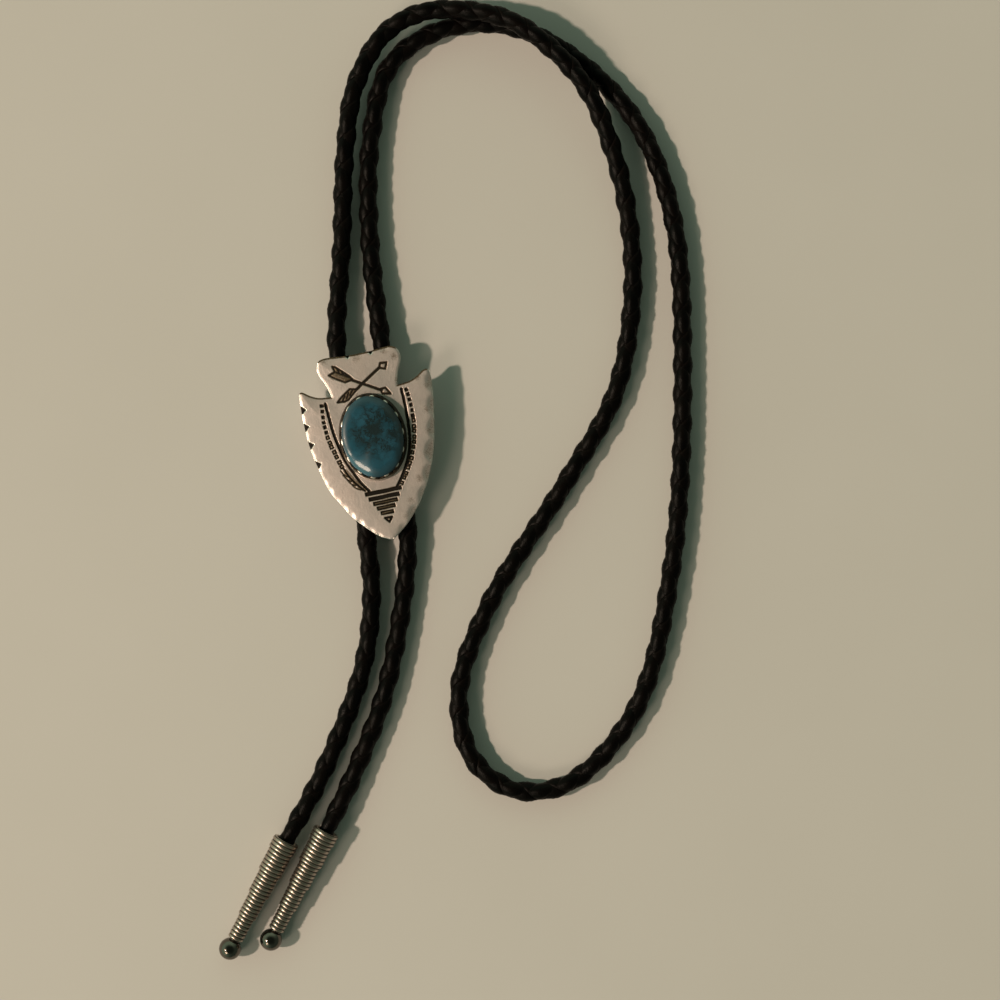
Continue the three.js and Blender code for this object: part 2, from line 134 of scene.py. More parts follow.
class Graph:
    """A node tree that is built by expressions."""

    def __init__(self, tree: bpy.types.NodeTree) -> None:
        """Holds the tree."""
        self.tree = tree

    def node(
        self, kind: str, settings: dict[str, Any] | None = None, inputs: dict[Any, Any] | None = None
    ) -> bpy.types.Node:
        """Adds a node.

        Args:
            kind: The node's type.
            settings: Its own settings, set first. The name stops gives a colour ramp's stops.
            inputs: Values or wires of its input sockets, by name or place.

        Returns:
            The node.
        """
        node = self.tree.nodes.new(kind)
        for name, value in (settings or {}).items():
            if name == "stops":
                self._set_stops(node.color_ramp, value)
            else:
                setattr(node, name, value)
        for key, value in (inputs or {}).items():
            socket = socket_named(node.inputs, key)
            if isinstance(value, Wire):
                self.tree.links.new(value.socket, socket)
            else:
                socket.default_value = value
        return node

    def wire(
        self,
        kind: str,
        settings: dict[str, Any] | None = None,
        inputs: dict[Any, Any] | None = None,
        output: str | int = 0,
    ) -> Wire:
        """Adds a node as node() does and returns one of its outputs."""
        node = self.node(kind, settings, inputs)
        return Wire(self, socket_named(node.outputs, output))

    def math(self, operation: str, *values: Number) -> Wire:
        """Adds a Math node."""
        return self.wire("ShaderNodeMath", {"operation": operation}, dict(enumerate(values)))

    def vector(self, operation: str, inputs: dict[Any, Any]) -> Wire:
        """Adds a Vector Math node."""
        return self.wire("ShaderNodeVectorMath", {"operation": operation}, inputs)

    def mix(self, factor: Number, low: Any, high: Any) -> Wire:
        """Mixes two colours, each a wire or three numbers."""
        low, high = (tint if isinstance(tint, Wire) else (*tint, 1.0) for tint in (low, high))
        inputs = {"Factor": factor, "A": low, "B": high}
        return self.wire("ShaderNodeMix", {"data_type": "RGBA"}, inputs, "Result")

    @staticmethod
    def _set_stops(ramp: bpy.types.ColorRamp, stops: list[tuple[float, Colour]]) -> None:
        """Gives a colour ramp its stops."""
        while len(ramp.elements) < len(stops):
            ramp.elements.new(1.0)
        for element, (place, tint) in zip(ramp.elements, stops):
            element.position = place
            element.color = (*tint, 1.0)


# Finishes


class Paint(Graph):
    """A material with one Principled shader, and the patterns that its finishes share."""

    def __init__(self, name: str) -> None:
        """Makes an empty material of that name."""
        self.material = bpy.data.materials.new(name)
        self.material.use_nodes = True
        super().__init__(self.material.node_tree)
        self.tree.nodes.clear()
        place = self.wire("ShaderNodeTexCoord", output="Object")
        self.place = self.vector("SCALE", {0: place, "Scale": 1 / MM})

    def noise(self, size: float, detail: float = 3, roughness: float = 0.5, **shift: Any) -> Wire:
        """Noise between 0 and 1.

        Args:
            size: Size of its patches in millimetres.
            detail: Octaves.
            roughness: Weight of the finer octaves.
            shift: at, a wire of other coordinates in millimetres.

        Returns:
            The noise.
        """
        inputs = {
            "Vector": shift.get("at", self.place),
            "Scale": 1 / size,
            "Detail": detail,
            "Roughness": roughness,
        }
        return self.wire("ShaderNodeTexNoise", None, inputs)

    def attribute(self, name: str) -> Wire:
        """A value that the mesh carries at its points."""
        return self.wire("ShaderNodeAttribute", {"attribute_name": name}, output="Fac")

    def bump(self, height: Wire, depth: float) -> Wire:
        """A normal from a height between 0 and 1 that stands for that depth in millimetres."""
        return self.wire("ShaderNodeBump", None, {"Height": height, "Strength": 1.0, "Distance": depth * MM})

    def finish(self, **inputs: Any) -> bpy.types.Material:
        """Adds the shader with these sockets, an underscore standing for a space, and the output."""
        sockets = {name.replace("_", " "): value for name, value in inputs.items()}
        shader = self.wire("ShaderNodeBsdfPrincipled", None, sockets)
        self.node("ShaderNodeOutputMaterial", None, {"Surface": shader})
        return self.material


@dataclass(frozen=True)
class SatinSilver:
    """Satin silver plate with black recesses, bright worn edges, and the painted shade and painted light
    that the mesh carries.
    """

    name: str = "silver_plate"
    pale: Colour = (0.86, 0.765, 0.735)
    dull: Colour = (0.64, 0.55, 0.52)
    worn: Colour = (0.93, 0.9, 0.85)
    # brown and black stand for tarnish in the hollows, and also paint shade: on edges and chips away from
    # the light, in the notches and on the bezel's wall.
    brown: Colour = (0.13, 0.092, 0.055)
    black: Colour = (0.008, 0.0052, 0.0034)

    def material(self) -> bpy.types.Material:
        """Builds the material, which reads the mesh's patina with painted shade, and its wear with painted
        light.
        """
        paint = Paint(self.name)
        clouds = paint.noise(5.5, 4, 0.6).step(0.3, 0.72)
        specks = paint.noise(0.35, 3, 0.7).step(0.35, 0.75)
        sunk = paint.attribute("patina_and_shade") + (specks - 0.5) * 0.2
        # The mesh's recess value holds patina and painted shade; its ridge value holds wear and, on the
        # bezel, painted light.
        tarnish_and_shade, patina_and_shade = sunk.step(0.12, 0.6), sunk.step(0.6, 0.88)
        wear_and_painted_light = paint.attribute("wear_and_painted_light")
        metal = paint.mix(clouds * 0.85, self.pale, self.dull)
        # The worn colour also paints light on the lower left of the bezel's wall.
        metal = paint.mix(wear_and_painted_light * 0.6, metal, self.worn)
        metal = paint.mix(tarnish_and_shade, metal, self.brown)
        scratches = paint.noise(0.12, 2, 0.5)
        return paint.finish(
            Base_Color=paint.mix(patina_and_shade, metal, self.black),
            Metallic=1 - tarnish_and_shade * 0.4 - patina_and_shade * 0.45,
            Specular_IOR_Level=0.2,
            Roughness=(clouds.between(0.41, 0.5) - wear_and_painted_light * 0.14) * (1 - patina_and_shade) + patina_and_shade * 0.62,
            Normal=paint.bump(scratches + specks * 0.8 + clouds * 2.0, 0.012),
        )


@dataclass(frozen=True)
class Turquoise:
    """Polished blue-green stone with smoky dark matrix."""

    name: str = "turquoise"
    teal: Colour = (0.015, 0.08, 0.125)
    light: Colour = (0.032, 0.128, 0.2)
    matrix: Colour = (0.011, 0.022, 0.026)
    gathered_at: tuple[float, float, float] = (1.6, 3.4, 10.5)

    def material(self) -> bpy.types.Material:
        """Builds the material, whose matrix gathers over the middle; it reads the mesh's rim value, which
        dulls the shoulder and darkens it with painted shade.
        """
        paint = Paint(self.name)
        rim = paint.attribute("rim")
        body = paint.noise(4.2, 3, 0.55).step(0.3, 0.75)
        warp = paint.wire("ShaderNodeTexNoise", None, {"Vector": paint.place, "Scale": 0.35}, "Color")
        bent = paint.vector("MULTIPLY_ADD", {0: warp, 1: (3.0, 3.0, 3.0), 2: paint.place})
        smoke = paint.noise(3.4, 4, 0.55, at=bent).step(0.28, 0.68)
        ends = {0: paint.place, 1: self.gathered_at}
        distance = paint.wire("ShaderNodeVectorMath", {"operation": "DISTANCE"}, ends, "Value")
        near = 1 - distance.step(3.0, 11.0)
        vein = paint.math("ABSOLUTE", paint.noise(2.1, 4, 0.6, at=bent) - 0.5)
        veins = (1 - vein.step(0.0, 0.05)) * near
        dark = paint.math("MINIMUM", smoke * near.between(0.15, 0.85) + veins * 0.45 + near * 0.22, 1.0)
        colour = paint.mix(dark, paint.mix(body, self.teal, self.light), self.matrix)
        return paint.finish(
            # The rim is darkened half way to the matrix colour: painted shade from the bezel's teeth.
            Base_Color=paint.mix(rim * 0.5, colour, self.matrix),
            Roughness=smoke.between(0.16, 0.26) + rim * 0.24,
            IOR=1.5,
            Coat_Weight=(1 - rim) * 0.8,
            Coat_Roughness=0.05,
            Normal=paint.bump(paint.noise(1.8, 3) + dark * 0.3, 0.03),
        )


@dataclass(frozen=True)
class BraidedLeather:
    """Black-brown laces with a faint gloss, creased across and worn brown at their edges."""

    name: str = "braided_leather"
    black: Colour = (0.0017, 0.0015, 0.0014)
    brown: Colour = (0.005, 0.0032, 0.0026)

    def material(self) -> bpy.types.Material:
        """Builds the material, which reads where along and across its lace a point lies."""
        paint = Paint(self.name)
        along = paint.attribute("along")
        across = paint.attribute("across")
        lace = paint.attribute("lace")
        grain_at = paint.wire("ShaderNodeCombineXYZ", None, {0: along, 1: across * 3.0, 2: lace * 50.0})
        grain = paint.noise(0.5, 4, 0.65, at=grain_at)
        patches = paint.noise(6.0, 2, 0.5, at=grain_at).step(0.35, 0.7)
        edge = paint.math("ABSOLUTE", across).step(0.75, 1.0)
        colour = paint.mix(patches * 0.5 + edge * 0.5, self.black, self.brown)
        return paint.finish(
            Base_Color=colour,
            Roughness=grain.between(0.25, 0.38) + patches * 0.06,
            Specular_IOR_Level=0.05,
            Normal=paint.bump(grain + patches * 0.6, 0.09),
        )


@dataclass(frozen=True)
class PolishedPlate:
    """Grey plate, brightest on its ribs, dirty in its grooves, and dark and glossy on the ball."""

    name: str = "tip_plate"
    bright: Colour = (0.4, 0.335, 0.285)
    dark: Colour = (0.13, 0.115, 0.1)
    dirt: Colour = (0.02, 0.014, 0.01)

    def material(self) -> bpy.types.Material:
        """Builds the material, which reads the mesh's groove and ball values."""
        paint = Paint(self.name)
        haze = paint.noise(1.6, 4, 0.6)
        specks = paint.noise(0.3, 2, 0.5)
        groove = (paint.attribute("groove") + (specks - 0.5) * 0.3).step(0.06, 0.42)
        ball = paint.attribute("ball")
        plate = paint.mix(ball, self.bright, self.dark)
        return paint.finish(
            Base_Color=paint.mix(groove * 0.94, plate, self.dirt),
            Metallic=1 - groove * 0.5,
            Roughness=haze.between(0.27, 0.36) - ball * 0.19 + groove * 0.2,
            Normal=paint.bump(haze * (ball * 7 + 1) + specks * 0.3, 0.01),
        )


@dataclass(frozen=True)
class NickelSheet:
    """Plain plated sheet with faint rolling marks along it."""

    name: str = "clip_steel"
    bright: Colour = (0.62, 0.6, 0.57)
    dull: Colour = (0.4, 0.38, 0.35)

    def material(self) -> bpy.types.Material:
        """Builds the material, whose marks run along Y."""
        paint = Paint(self.name)
        squeezed = paint.vector("MULTIPLY", {0: paint.place, 1: (8.0, 0.25, 8.0)})
        marks = paint.noise(1.0, 3, 0.6, at=squeezed)
        clouds = paint.noise(3.0, 3)
        return paint.finish(
            Base_Color=paint.mix(clouds.step(0.35, 0.7), self.bright, self.dull),
            Metallic=1.0,
            Roughness=marks.between(0.3, 0.5),
            Normal=paint.bump(marks, 0.01),
        )


@dataclass(frozen=True)
class PaleBoard:
    """The plain pale table."""

    name: str = "pale_board"
    light: Colour = (0.565, 0.55, 0.54)
    shade: Colour = (0.53, 0.515, 0.5)

    def material(self) -> bpy.types.Material:
        """Builds the material."""
        paint = Paint(self.name)
        clouds = paint.noise(60.0, 3)
        return paint.finish(
            Base_Color=paint.mix(clouds, self.light, self.shade),
            Roughness=0.7,
            Normal=paint.bump(paint.noise(0.8, 3), 0.01),
        )


# Meshes


def add_object(name: str, mesh: bpy.types.Mesh) -> bpy.types.Object:
    """Adds a mesh to the scene, with its object at the origin."""
    piece = bpy.data.objects.new(name, mesh)
    bpy.context.scene.collection.objects.link(piece)
    return piece


def mesh_from(name: str, points: Any, faces: Any, edges: Any = ()) -> bpy.types.Mesh:
    """Makes a mesh.

    Args:
        name: The mesh's name.
        points: Its points in millimetres.
        faces: Lists of point numbers.
        edges: Pairs of point numbers that no face has.

    Returns:
        The mesh, in metres.
    """
    mesh = bpy.data.meshes.new(name)
    placed = (np.asarray(points, dtype=float) * MM).tolist()
    mesh.from_pydata(placed, [tuple(edge) for edge in edges], [tuple(face) for face in faces])
    mesh.validate()
    return mesh


def shade(mesh: bpy.types.Mesh, material: bpy.types.Material, smooth: bool = True) -> None:
    """Gives a mesh its one material and smooth or flat faces."""
    mesh.materials.clear()
    mesh.materials.append(material)
    mesh.polygons.foreach_set("use_smooth", [smooth] * len(mesh.polygons))
    mesh.update()


def face_out(mesh: bpy.types.Mesh) -> None:
    """Turns every shell's faces outwards."""
    work = bmesh.new()
    work.from_mesh(mesh)
    bmesh.ops.recalc_face_normals(work, faces=work.faces)
    work.to_mesh(mesh)
    work.free()


def carry(mesh: bpy.types.Mesh, name: str, values: Array) -> None:
    """Stores a value for each point of a mesh."""
    held = mesh.attributes.new(name, "FLOAT", "POINT")
    held.data.foreach_set("value", np.asarray(values, dtype=np.float32))


def smooth_step(value: Array, low: float, high: float) -> Array:
    """A smooth step from 0 at low to 1 at high, which may be the lesser."""
    share = np.clip((value - low) / (high - low), 0.0, 1.0)
    return share * share * (3 - 2 * share)


def ring_faces(rings: int, count: int, first: int = 0, closed: bool = False) -> list[tuple[int, ...]]:
    """Faces between rings of points that follow each other.

    Args:
        rings: How many rings.
        count: Points in each.
        first: Number of the first point.
        closed: Whether the last ring joins the first.

    Returns:
        Quads.
    """
    faces = []
    for row in range(rings if closed else rings - 1):
        low = first + row * count
        high = first + (row + 1) % rings * count
        for i in range(count):
            j = (i + 1) % count
            faces.append((low + i, low + j, high + j, high + i))
    return faces


def new_geometry_tree(name: str, inputs: dict[str, str]) -> tuple[Graph, dict[str, Wire]]:
    """Starts a Geometry Nodes tree.

    Args:
        name: Its name.
        inputs: The socket type of each named input.

    Returns:
        The tree, and its inputs as wires.
    """
    tree = bpy.data.node_groups.new(name, "GeometryNodeTree")
    tree.interface.new_socket("Geometry", in_out="OUTPUT", socket_type="NodeSocketGeometry")
    for label, kind in inputs.items():
        tree.interface.new_socket(label, in_out="INPUT", socket_type=kind)
    graph = Graph(tree)
    entry = graph.node("NodeGroupInput")
    return graph, {label: Wire(graph, entry.outputs[label]) for label in inputs}


def store(graph: Graph, geometry: Wire, name: str, value: Wire) -> Wire:
    """Stores a named value at each point of a geometry."""
    inputs = {"Geometry": geometry, "Name": name, "Value": value}
    return graph.wire("GeometryNodeStoreNamedAttribute", {"domain": "POINT"}, inputs)


def named(graph: Graph, name: str) -> Wire:
    """Reads a stored value."""
    return graph.wire("GeometryNodeInputNamedAttribute", {"data_type": "FLOAT"}, {"Name": name})


def end_geometry_tree(graph: Graph, geometry: Wire, material: Wire) -> None:
    """Ends a Geometry Nodes tree in Realize Instances and Set Material."""
    real = graph.wire("GeometryNodeRealizeInstances", None, {"Geometry": geometry})
    dressed = graph.wire("GeometryNodeSetMaterial", None, {"Geometry": real, "Material": material})
    graph.node("NodeGroupOutput", None, {"Geometry": dressed})


def grow(
    name: str, tree: bpy.types.NodeTree, base: bpy.types.Mesh, sizes: dict[str, Any]
) -> bpy.types.Object:
    """Runs a Geometry Nodes tree on a mesh and keeps the result as a plain mesh.

    Args:
        name: Name of the finished piece.
        tree: The tree.
        base: The mesh that it starts from.
        sizes: Values of its named inputs.

    Returns:
        The finished piece, with no modifier.
    """
    carrier = add_object(name + "_base", base)
    modifier = carrier.modifiers.new("grow", "NODES")
    modifier.node_group = tree
    for item in tree.interface.items_tree:
        if item.item_type == "SOCKET" and item.in_out == "INPUT" and item.name in sizes:
            modifier[item.identifier] = sizes[item.name]
    depsgraph = bpy.context.evaluated_depsgraph_get()
    depsgraph.update()
    mesh = bpy.data.meshes.new_from_object(carrier.evaluated_get(depsgraph), depsgraph=depsgraph)
    carrier.modifiers.remove(modifier)
    bpy.data.objects.remove(carrier)
    mesh.name = name
    return add_object(name, mesh)


def seat(piece: bpy.types.Object, node: str) -> None:
    """Rides a finished piece on the root body in place of its CAD node."""
    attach(piece, "root")
    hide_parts(node)
    log.info("%s: %d faces, stands for %s", piece.name, len(piece.data.polygons), node)


def box_mm(node: str) -> tuple[Array, Array]:
    """Lowest and highest corners of a CAD node, in millimetres."""
    low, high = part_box(node)
    return np.array(low) / MM, np.array(high) / MM


# Cord and its tips


class Side(Enum):
    """The two ends of the cord."""

    LEFT = "tip_left"
    RIGHT = "tip_right"


@dataclass(frozen=True)
class TipPlace:
    """Where a tip's mouth lies, and the way the cord leaves it, in metres and degrees."""

    x: float
    y: float
    heading: float


@dataclass
class BraidedCord:
    """A round braid of four laces along the cord's route."""

    diameter: float = 4.3
    lie_gap: float = 0.51
    lift_share: float = 1.1
    mouth_z: float = 0.00355
    channel: tuple[float, float, float] = (0.0054, 0.0065, 0.00325)
    lay_length: float = 14.6
    lace_width: float = 4.25
    lace_thickness: float = 1.2
    lace_radius: float = 1.58
    weave: float = 0.42
    squeeze: float = 0.41
    squeezed_over: float = 9.0
    core_radius: float = 1.15
    step: float = 0.65
    in_socket: float = 8.0
    tips: dict[Side, TipPlace] = field(
        default_factory=lambda: {
            Side.LEFT: TipPlace(-0.0403, -0.0932, 51.7),
            Side.RIGHT: TipPlace(-0.03, -0.0927, 52.2),
        }
    )
    to_slide: tuple = (
        (-0.028, -0.0778, 0),
        (-0.0137, -0.0545, 0),
        (-0.008, -0.037, 0),
        (-0.0064, -0.0215, 0.0005),
    )
    loop: tuple = (
        (-0.0049, 0.026, 0.0006),
        (0.001, 0.051, 0),
        (0.0063, 0.074, 0.001),
        (0.012, 0.0898, 0.0014),
        (0.0218, 0.1011, 0.0019),
        (0.0335, 0.1042, 0.003),
        (0.0512, 0.0988, 0.0048),
        (0.0607, 0.0902, 0.0046),
        (0.0684, 0.078, 0.0037),
        (0.0722, 0.062, 0.0014),
        (0.0731, 0.045, 0),
        (0.0704, 0.025, 0),
        (0.0617, 0.002, 0),
        (0.0455, -0.0176, 0),
        (0.0205, -0.0446, 0),
        (0.0092, -0.0645, 0),
        (0.0092, -0.0813, 0),
        (0.018, -0.0913, 0),
        (0.032, -0.0922, 0),
        (0.0516, -0.0775, 0),
        (0.0672, -0.0445, 0),
        (0.079, 0.0025, 0),
        (0.084, 0.043, 0),
        (0.0789, 0.069, 0),
        (0.0648, 0.0888, 0),
        (0.0505, 0.0981, 0),
        (0.035, 0.0995, 0),
        (0.0214, 0.0932, 0),
        (0.0135, 0.077, 0),
        (0.0086, 0.054, 0),
        (0.0063, 0.026, 0.0006),
    )
    from_slide: tuple = (
        (0.0041, -0.0215, 0.0005),
        (0.001, -0.035, 0),
        (-0.0093, -0.0615, 0),
        (-0.0209, -0.0803, 0),
    )

    def mouth(self, side: Side) -> Vector:
        """The middle of a tip's mouth, in metres."""
        place = self.tips[side]
        return Vector((place.x, place.y, self.mouth_z))

    def way_out(self, side: Side) -> Vector:
        """The way the cord leaves a tip."""
        turn = math.radians(self.tips[side].heading)
        return Vector((math.cos(turn), math.sin(turn), 0.0))

    def route(self) -> list[Vector]:
        """The chosen points from inside one tip, through the slide, to inside the other, in metres."""
        low = (self.diameter / 2 + self.lie_gap) * MM
        parts = (self.to_slide, self.loop, self.from_slide)
        lying = [[Vector((x, y, low + lift * self.lift_share)) for x, y, lift in part] for part in parts]
        x, y, z = self.channel
        left, right = Side.LEFT, Side.RIGHT
        inside = {side: self.mouth(side) - self.way_out(side) * self.in_socket * MM for side in Side}
        return [
            inside[left],
            self.mouth(left),
            *lying[0],
            Vector((-x, -y, z)),
            Vector((-x, y, z)),
            *lying[1],
            Vector((x, y, z)),
            Vector((x, -y, z)),
            *lying[2],
            self.mouth(right),
            inside[right],
        ]

    def centre_line(self) -> list[Vector]:
        """The smooth curve through the route, as close points in metres."""
        points = self.route()
        ends = [2 * points[0] - points[1], *points, 2 * points[-1] - points[-2]]
        line = []
        for a, b, c, d in zip(ends, ends[1:], ends[2:], ends[3:]):
            gaps = [math.sqrt((q - p).length) for p, q in ((a, b), (b, c), (c, d))]
            leave = ((b - a) / gaps[0] - (c - a) / (gaps[0] + gaps[1]) + (c - b) / gaps[1]) * gaps[1]
            arrive = ((c - b) / gaps[1] - (d - b) / (gaps[1] + gaps[2]) + (d - c) / gaps[2]) * gaps[1]
            count = max(4, round((c - b).length / MM))
            for i in range(count):
                t = i / count
                line.append(
                    b * (2 * t**3 - 3 * t**2 + 1)
                    + leave * (t**3 - 2 * t**2 + t)
                    + c * (3 * t**2 - 2 * t**3)
                    + arrive * (t**3 - t**2)
                )
        line.append(points[-1])
        return line

    def _squeezed(self, line: list[Vector]) -> Array:
        """How tightly each point of the line is held, by a tip or by the clip, from 0 to 1."""
        x, y, _ = self.channel
        held = np.zeros(len(line))
        reached = np.concatenate([[0], np.cumsum([(b - a).length for a, b in zip(line, line[1:])])]) / MM
        for mouth in (reached, reached[-1] - reached):
            held = np.maximum(held, smooth_step(mouth - self.in_socket, self.squeezed_over, 0.0))
        for i, point in enumerate(line):
            if abs(point.x) < 2 * x:
                beyond = (abs(point.y) - y) / MM
                held[i] = max(held[i], float(smooth_step(beyond, self.squeezed_over, 0.0)))
        return held

    def braid_tree(self) -> bpy.types.NodeTree:
        """Builds the tree that winds four laces round a line, two each way, over and under."""
        inputs = {
            "Line": "NodeSocketGeometry",
            "Step": "NodeSocketFloat",
            "Lay length": "NodeSocketFloat",
            "Lace radius": "NodeSocketFloat",
            "Weave": "NodeSocketFloat",
            "Lace width": "NodeSocketFloat",
            "Lace thickness": "NodeSocketFloat",
            "Core radius": "NodeSocketFloat",
            "Squeeze": "NodeSocketFloat",
            "Material": "NodeSocketMaterial",
        }
        graph, given = new_geometry_tree("braid_of_four", inputs)
        curve = graph.wire("GeometryNodeMeshToCurve", None, {"Mesh": given["Line"]})
        pace = {"Curve": curve, "Length": given["Step"]}
        curve = graph.wire("GeometryNodeResampleCurve", {"mode": "LENGTH"}, pace)
        curve = graph.wire("GeometryNodeSetCurveNormal", {"mode": "Z_UP"}, {"Curve": curve})
        four = {"Geometry": curve, "Amount": 4}
        copies = graph.node("GeometryNodeDuplicateElements", {"domain": "SPLINE"}, four)
        laces, number = Wire(graph, copies.outputs[0]), Wire(graph, copies.outputs[1])
        along = graph.wire("GeometryNodeSplineParameter", output="Length")
        normal = graph.wire("GeometryNodeInputNormal")
        tangent = graph.wire("GeometryNodeInputTangent")
        across = graph.vector("CROSS_PRODUCT", {0: tangent, 1: normal})
        hand = 1 - 2 * graph.math("FLOORED_MODULO", number, 2.0)
        half = graph.math("FLOOR", number / 2)
        turn = along * (2 * math.pi) / given["Lay length"]
        drift = graph.math("SINE", along * 21.0) * 0.35
        angle = hand * turn + half * math.pi + drift
        out = graph.vector(
            "ADD",
            {
                0: graph.vector("SCALE", {0: normal, "Scale": graph.math("COSINE", angle)}),
                1: graph.vector("SCALE", {0: across, "Scale": graph.math("SINE", angle)}),
            },
        )
        height = given["Lace radius"] + hand * given["Weave"] * graph.math("COSINE", turn * 2)
        height = height - named(graph, "squeezed") * given["Squeeze"]
        keeper = graph.node("GeometryNodeCaptureAttribute", {"domain": "POINT"}, {"Geometry": laces})
        kept = (("Out", "VECTOR", out), ("Along", "FLOAT", along), ("Lace", "FLOAT", number))
        for label, kind, value in kept:
            keeper.capture_items.new(kind, label)
            graph.tree.links.new(value.socket, keeper.inputs[label])
        laces = Wire(graph, keeper.outputs["Geometry"])
        out = Wire(graph, keeper.outputs["Out"])
        offset = graph.vector("SCALE", {0: out, "Scale": height})
        laces = graph.wire("GeometryNodeSetPosition", None, {"Geometry": laces, "Offset": offset})
        laces = graph.wire("GeometryNodeSetCurveNormal", {"mode": "FREE"}, {"Curve": laces, "Normal": out})
        laces = store(graph, laces, "along", Wire(graph, keeper.outputs["Along"]) / MM)
        laces = store(graph, laces, "lace", Wire(graph, keeper.outputs["Lace"]))
        section = self._lace_section(graph, given)
        skin = {"Curve": laces, "Profile Curve": section, "Fill Caps": True}
        laces = graph.wire("GeometryNodeCurveToMesh", None, skin)
        ring = {"Resolution": 8, "Radius": given["Core radius"]}
        ring = graph.wire("GeometryNodeCurvePrimitiveCircle", None, ring)
        pace = {"Curve": curve, "Length": given["Step"] * 3}
        core = graph.wire("GeometryNodeResampleCurve", {"mode": "LENGTH"}, pace)
        skin = {"Curve": core, "Profile Curve": ring, "Fill Caps": True}
        core = graph.wire("GeometryNodeCurveToMesh", None, skin)
        joined = graph.node("GeometryNodeJoinGeometry")
        for part in (core, laces):
            graph.tree.links.new(part.socket, joined.inputs[0])
        smooth = graph.wire("GeometryNodeSetShadeSmooth", None, {"Geometry": Wire(graph, joined.outputs[0])})
        end_geometry_tree(graph, smooth, given["Material"])
        return graph.tree

    def _lace_section(self, graph: Graph, given: dict[str, Wire]) -> Wire:
        """A lens, wide across and thin outwards, that bends round the braid."""
        circle = graph.wire("GeometryNodeCurvePrimitiveCircle", None, {"Resolution": 14, "Radius": 1.0})
        place = graph.node("ShaderNodeSeparateXYZ", None, {0: graph.wire("GeometryNodeInputPosition")})
        thick, wide = Wire(graph, place.outputs["X"]), Wire(graph, place.outputs["Y"])
        y = wide * given["Lace width"] / 2
        x = thick * given["Lace thickness"] / 2 - y * y / (self.diameter * 1.55 * MM)
        circle = store(graph, circle, "across", wide)
        position = graph.wire("ShaderNodeCombineXYZ", None, {"X": x, "Y": y})
        return graph.wire("GeometryNodeSetPosition", None, {"Geometry": circle, "Position": position})

    def build(self, leather: BraidedLeather) -> bpy.types.Object:
        """Winds the laces along the route.

        Args:
            leather: Their finish.

        Returns:
            The finished braid.
        """
        line = self.centre_line()
        points = [point / MM for point in line]
        base = mesh_from("cord_line", points, [], [(i, i + 1) for i in range(len(points) - 1)])
        carry(base, "squeezed", self._squeezed(line))
        sizes = {
            "Step": self.step * MM,
            "Lay length": self.lay_length * MM,
            "Lace radius": self.lace_radius * MM,
            "Weave": self.weave * MM,
            "Lace width": self.lace_width * MM,
            "Lace thickness": self.lace_thickness * MM,
            "Core radius": self.core_radius * MM,
            "Squeeze": self.squeeze * MM,
            "Material": leather.material(),
        }
        return grow("cord_braid", self.braid_tree(), base, sizes)

    def declare(self, braid: bpy.types.Object) -> None:
        """Rides the braid on the root body in place of its CAD node; the centre line's length that it works
        out is not used.
        """
        seat(braid, "braided_cord")
        line = self.centre_line()
        length = sum((b - a).length for a, b in zip(line, line[1:]))


@dataclass
class Outline:
    """A turned outline: points as radius and height, with what the lathe presses into each."""

    points: list[tuple[float, float, float]] = field(default_factory=list)
    phase: list[float] = field(default_factory=list)
    ribbed: list[float] = field(default_factory=list)
    toothed: list[float] = field(default_factory=list)

    def add(
        self, radius: float, height: float, phase: float = 0, ribbed: float = 0, toothed: float = 0
    ) -> None:
        """Adds a point in millimetres.

        Args:
            radius: Distance from the axis, or from the oval that the lathe turns round.
            height: Distance along the axis.
            phase: How many ribs lie before it in its tier.
            ribbed: 1 where the ribs reach it.
            toothed: How far it follows the teeth.
        """
        self.points.append((radius, 0.0, height))
        self.phase.append(phase)
        self.ribbed.append(ribbed)
        self.toothed.append(toothed)


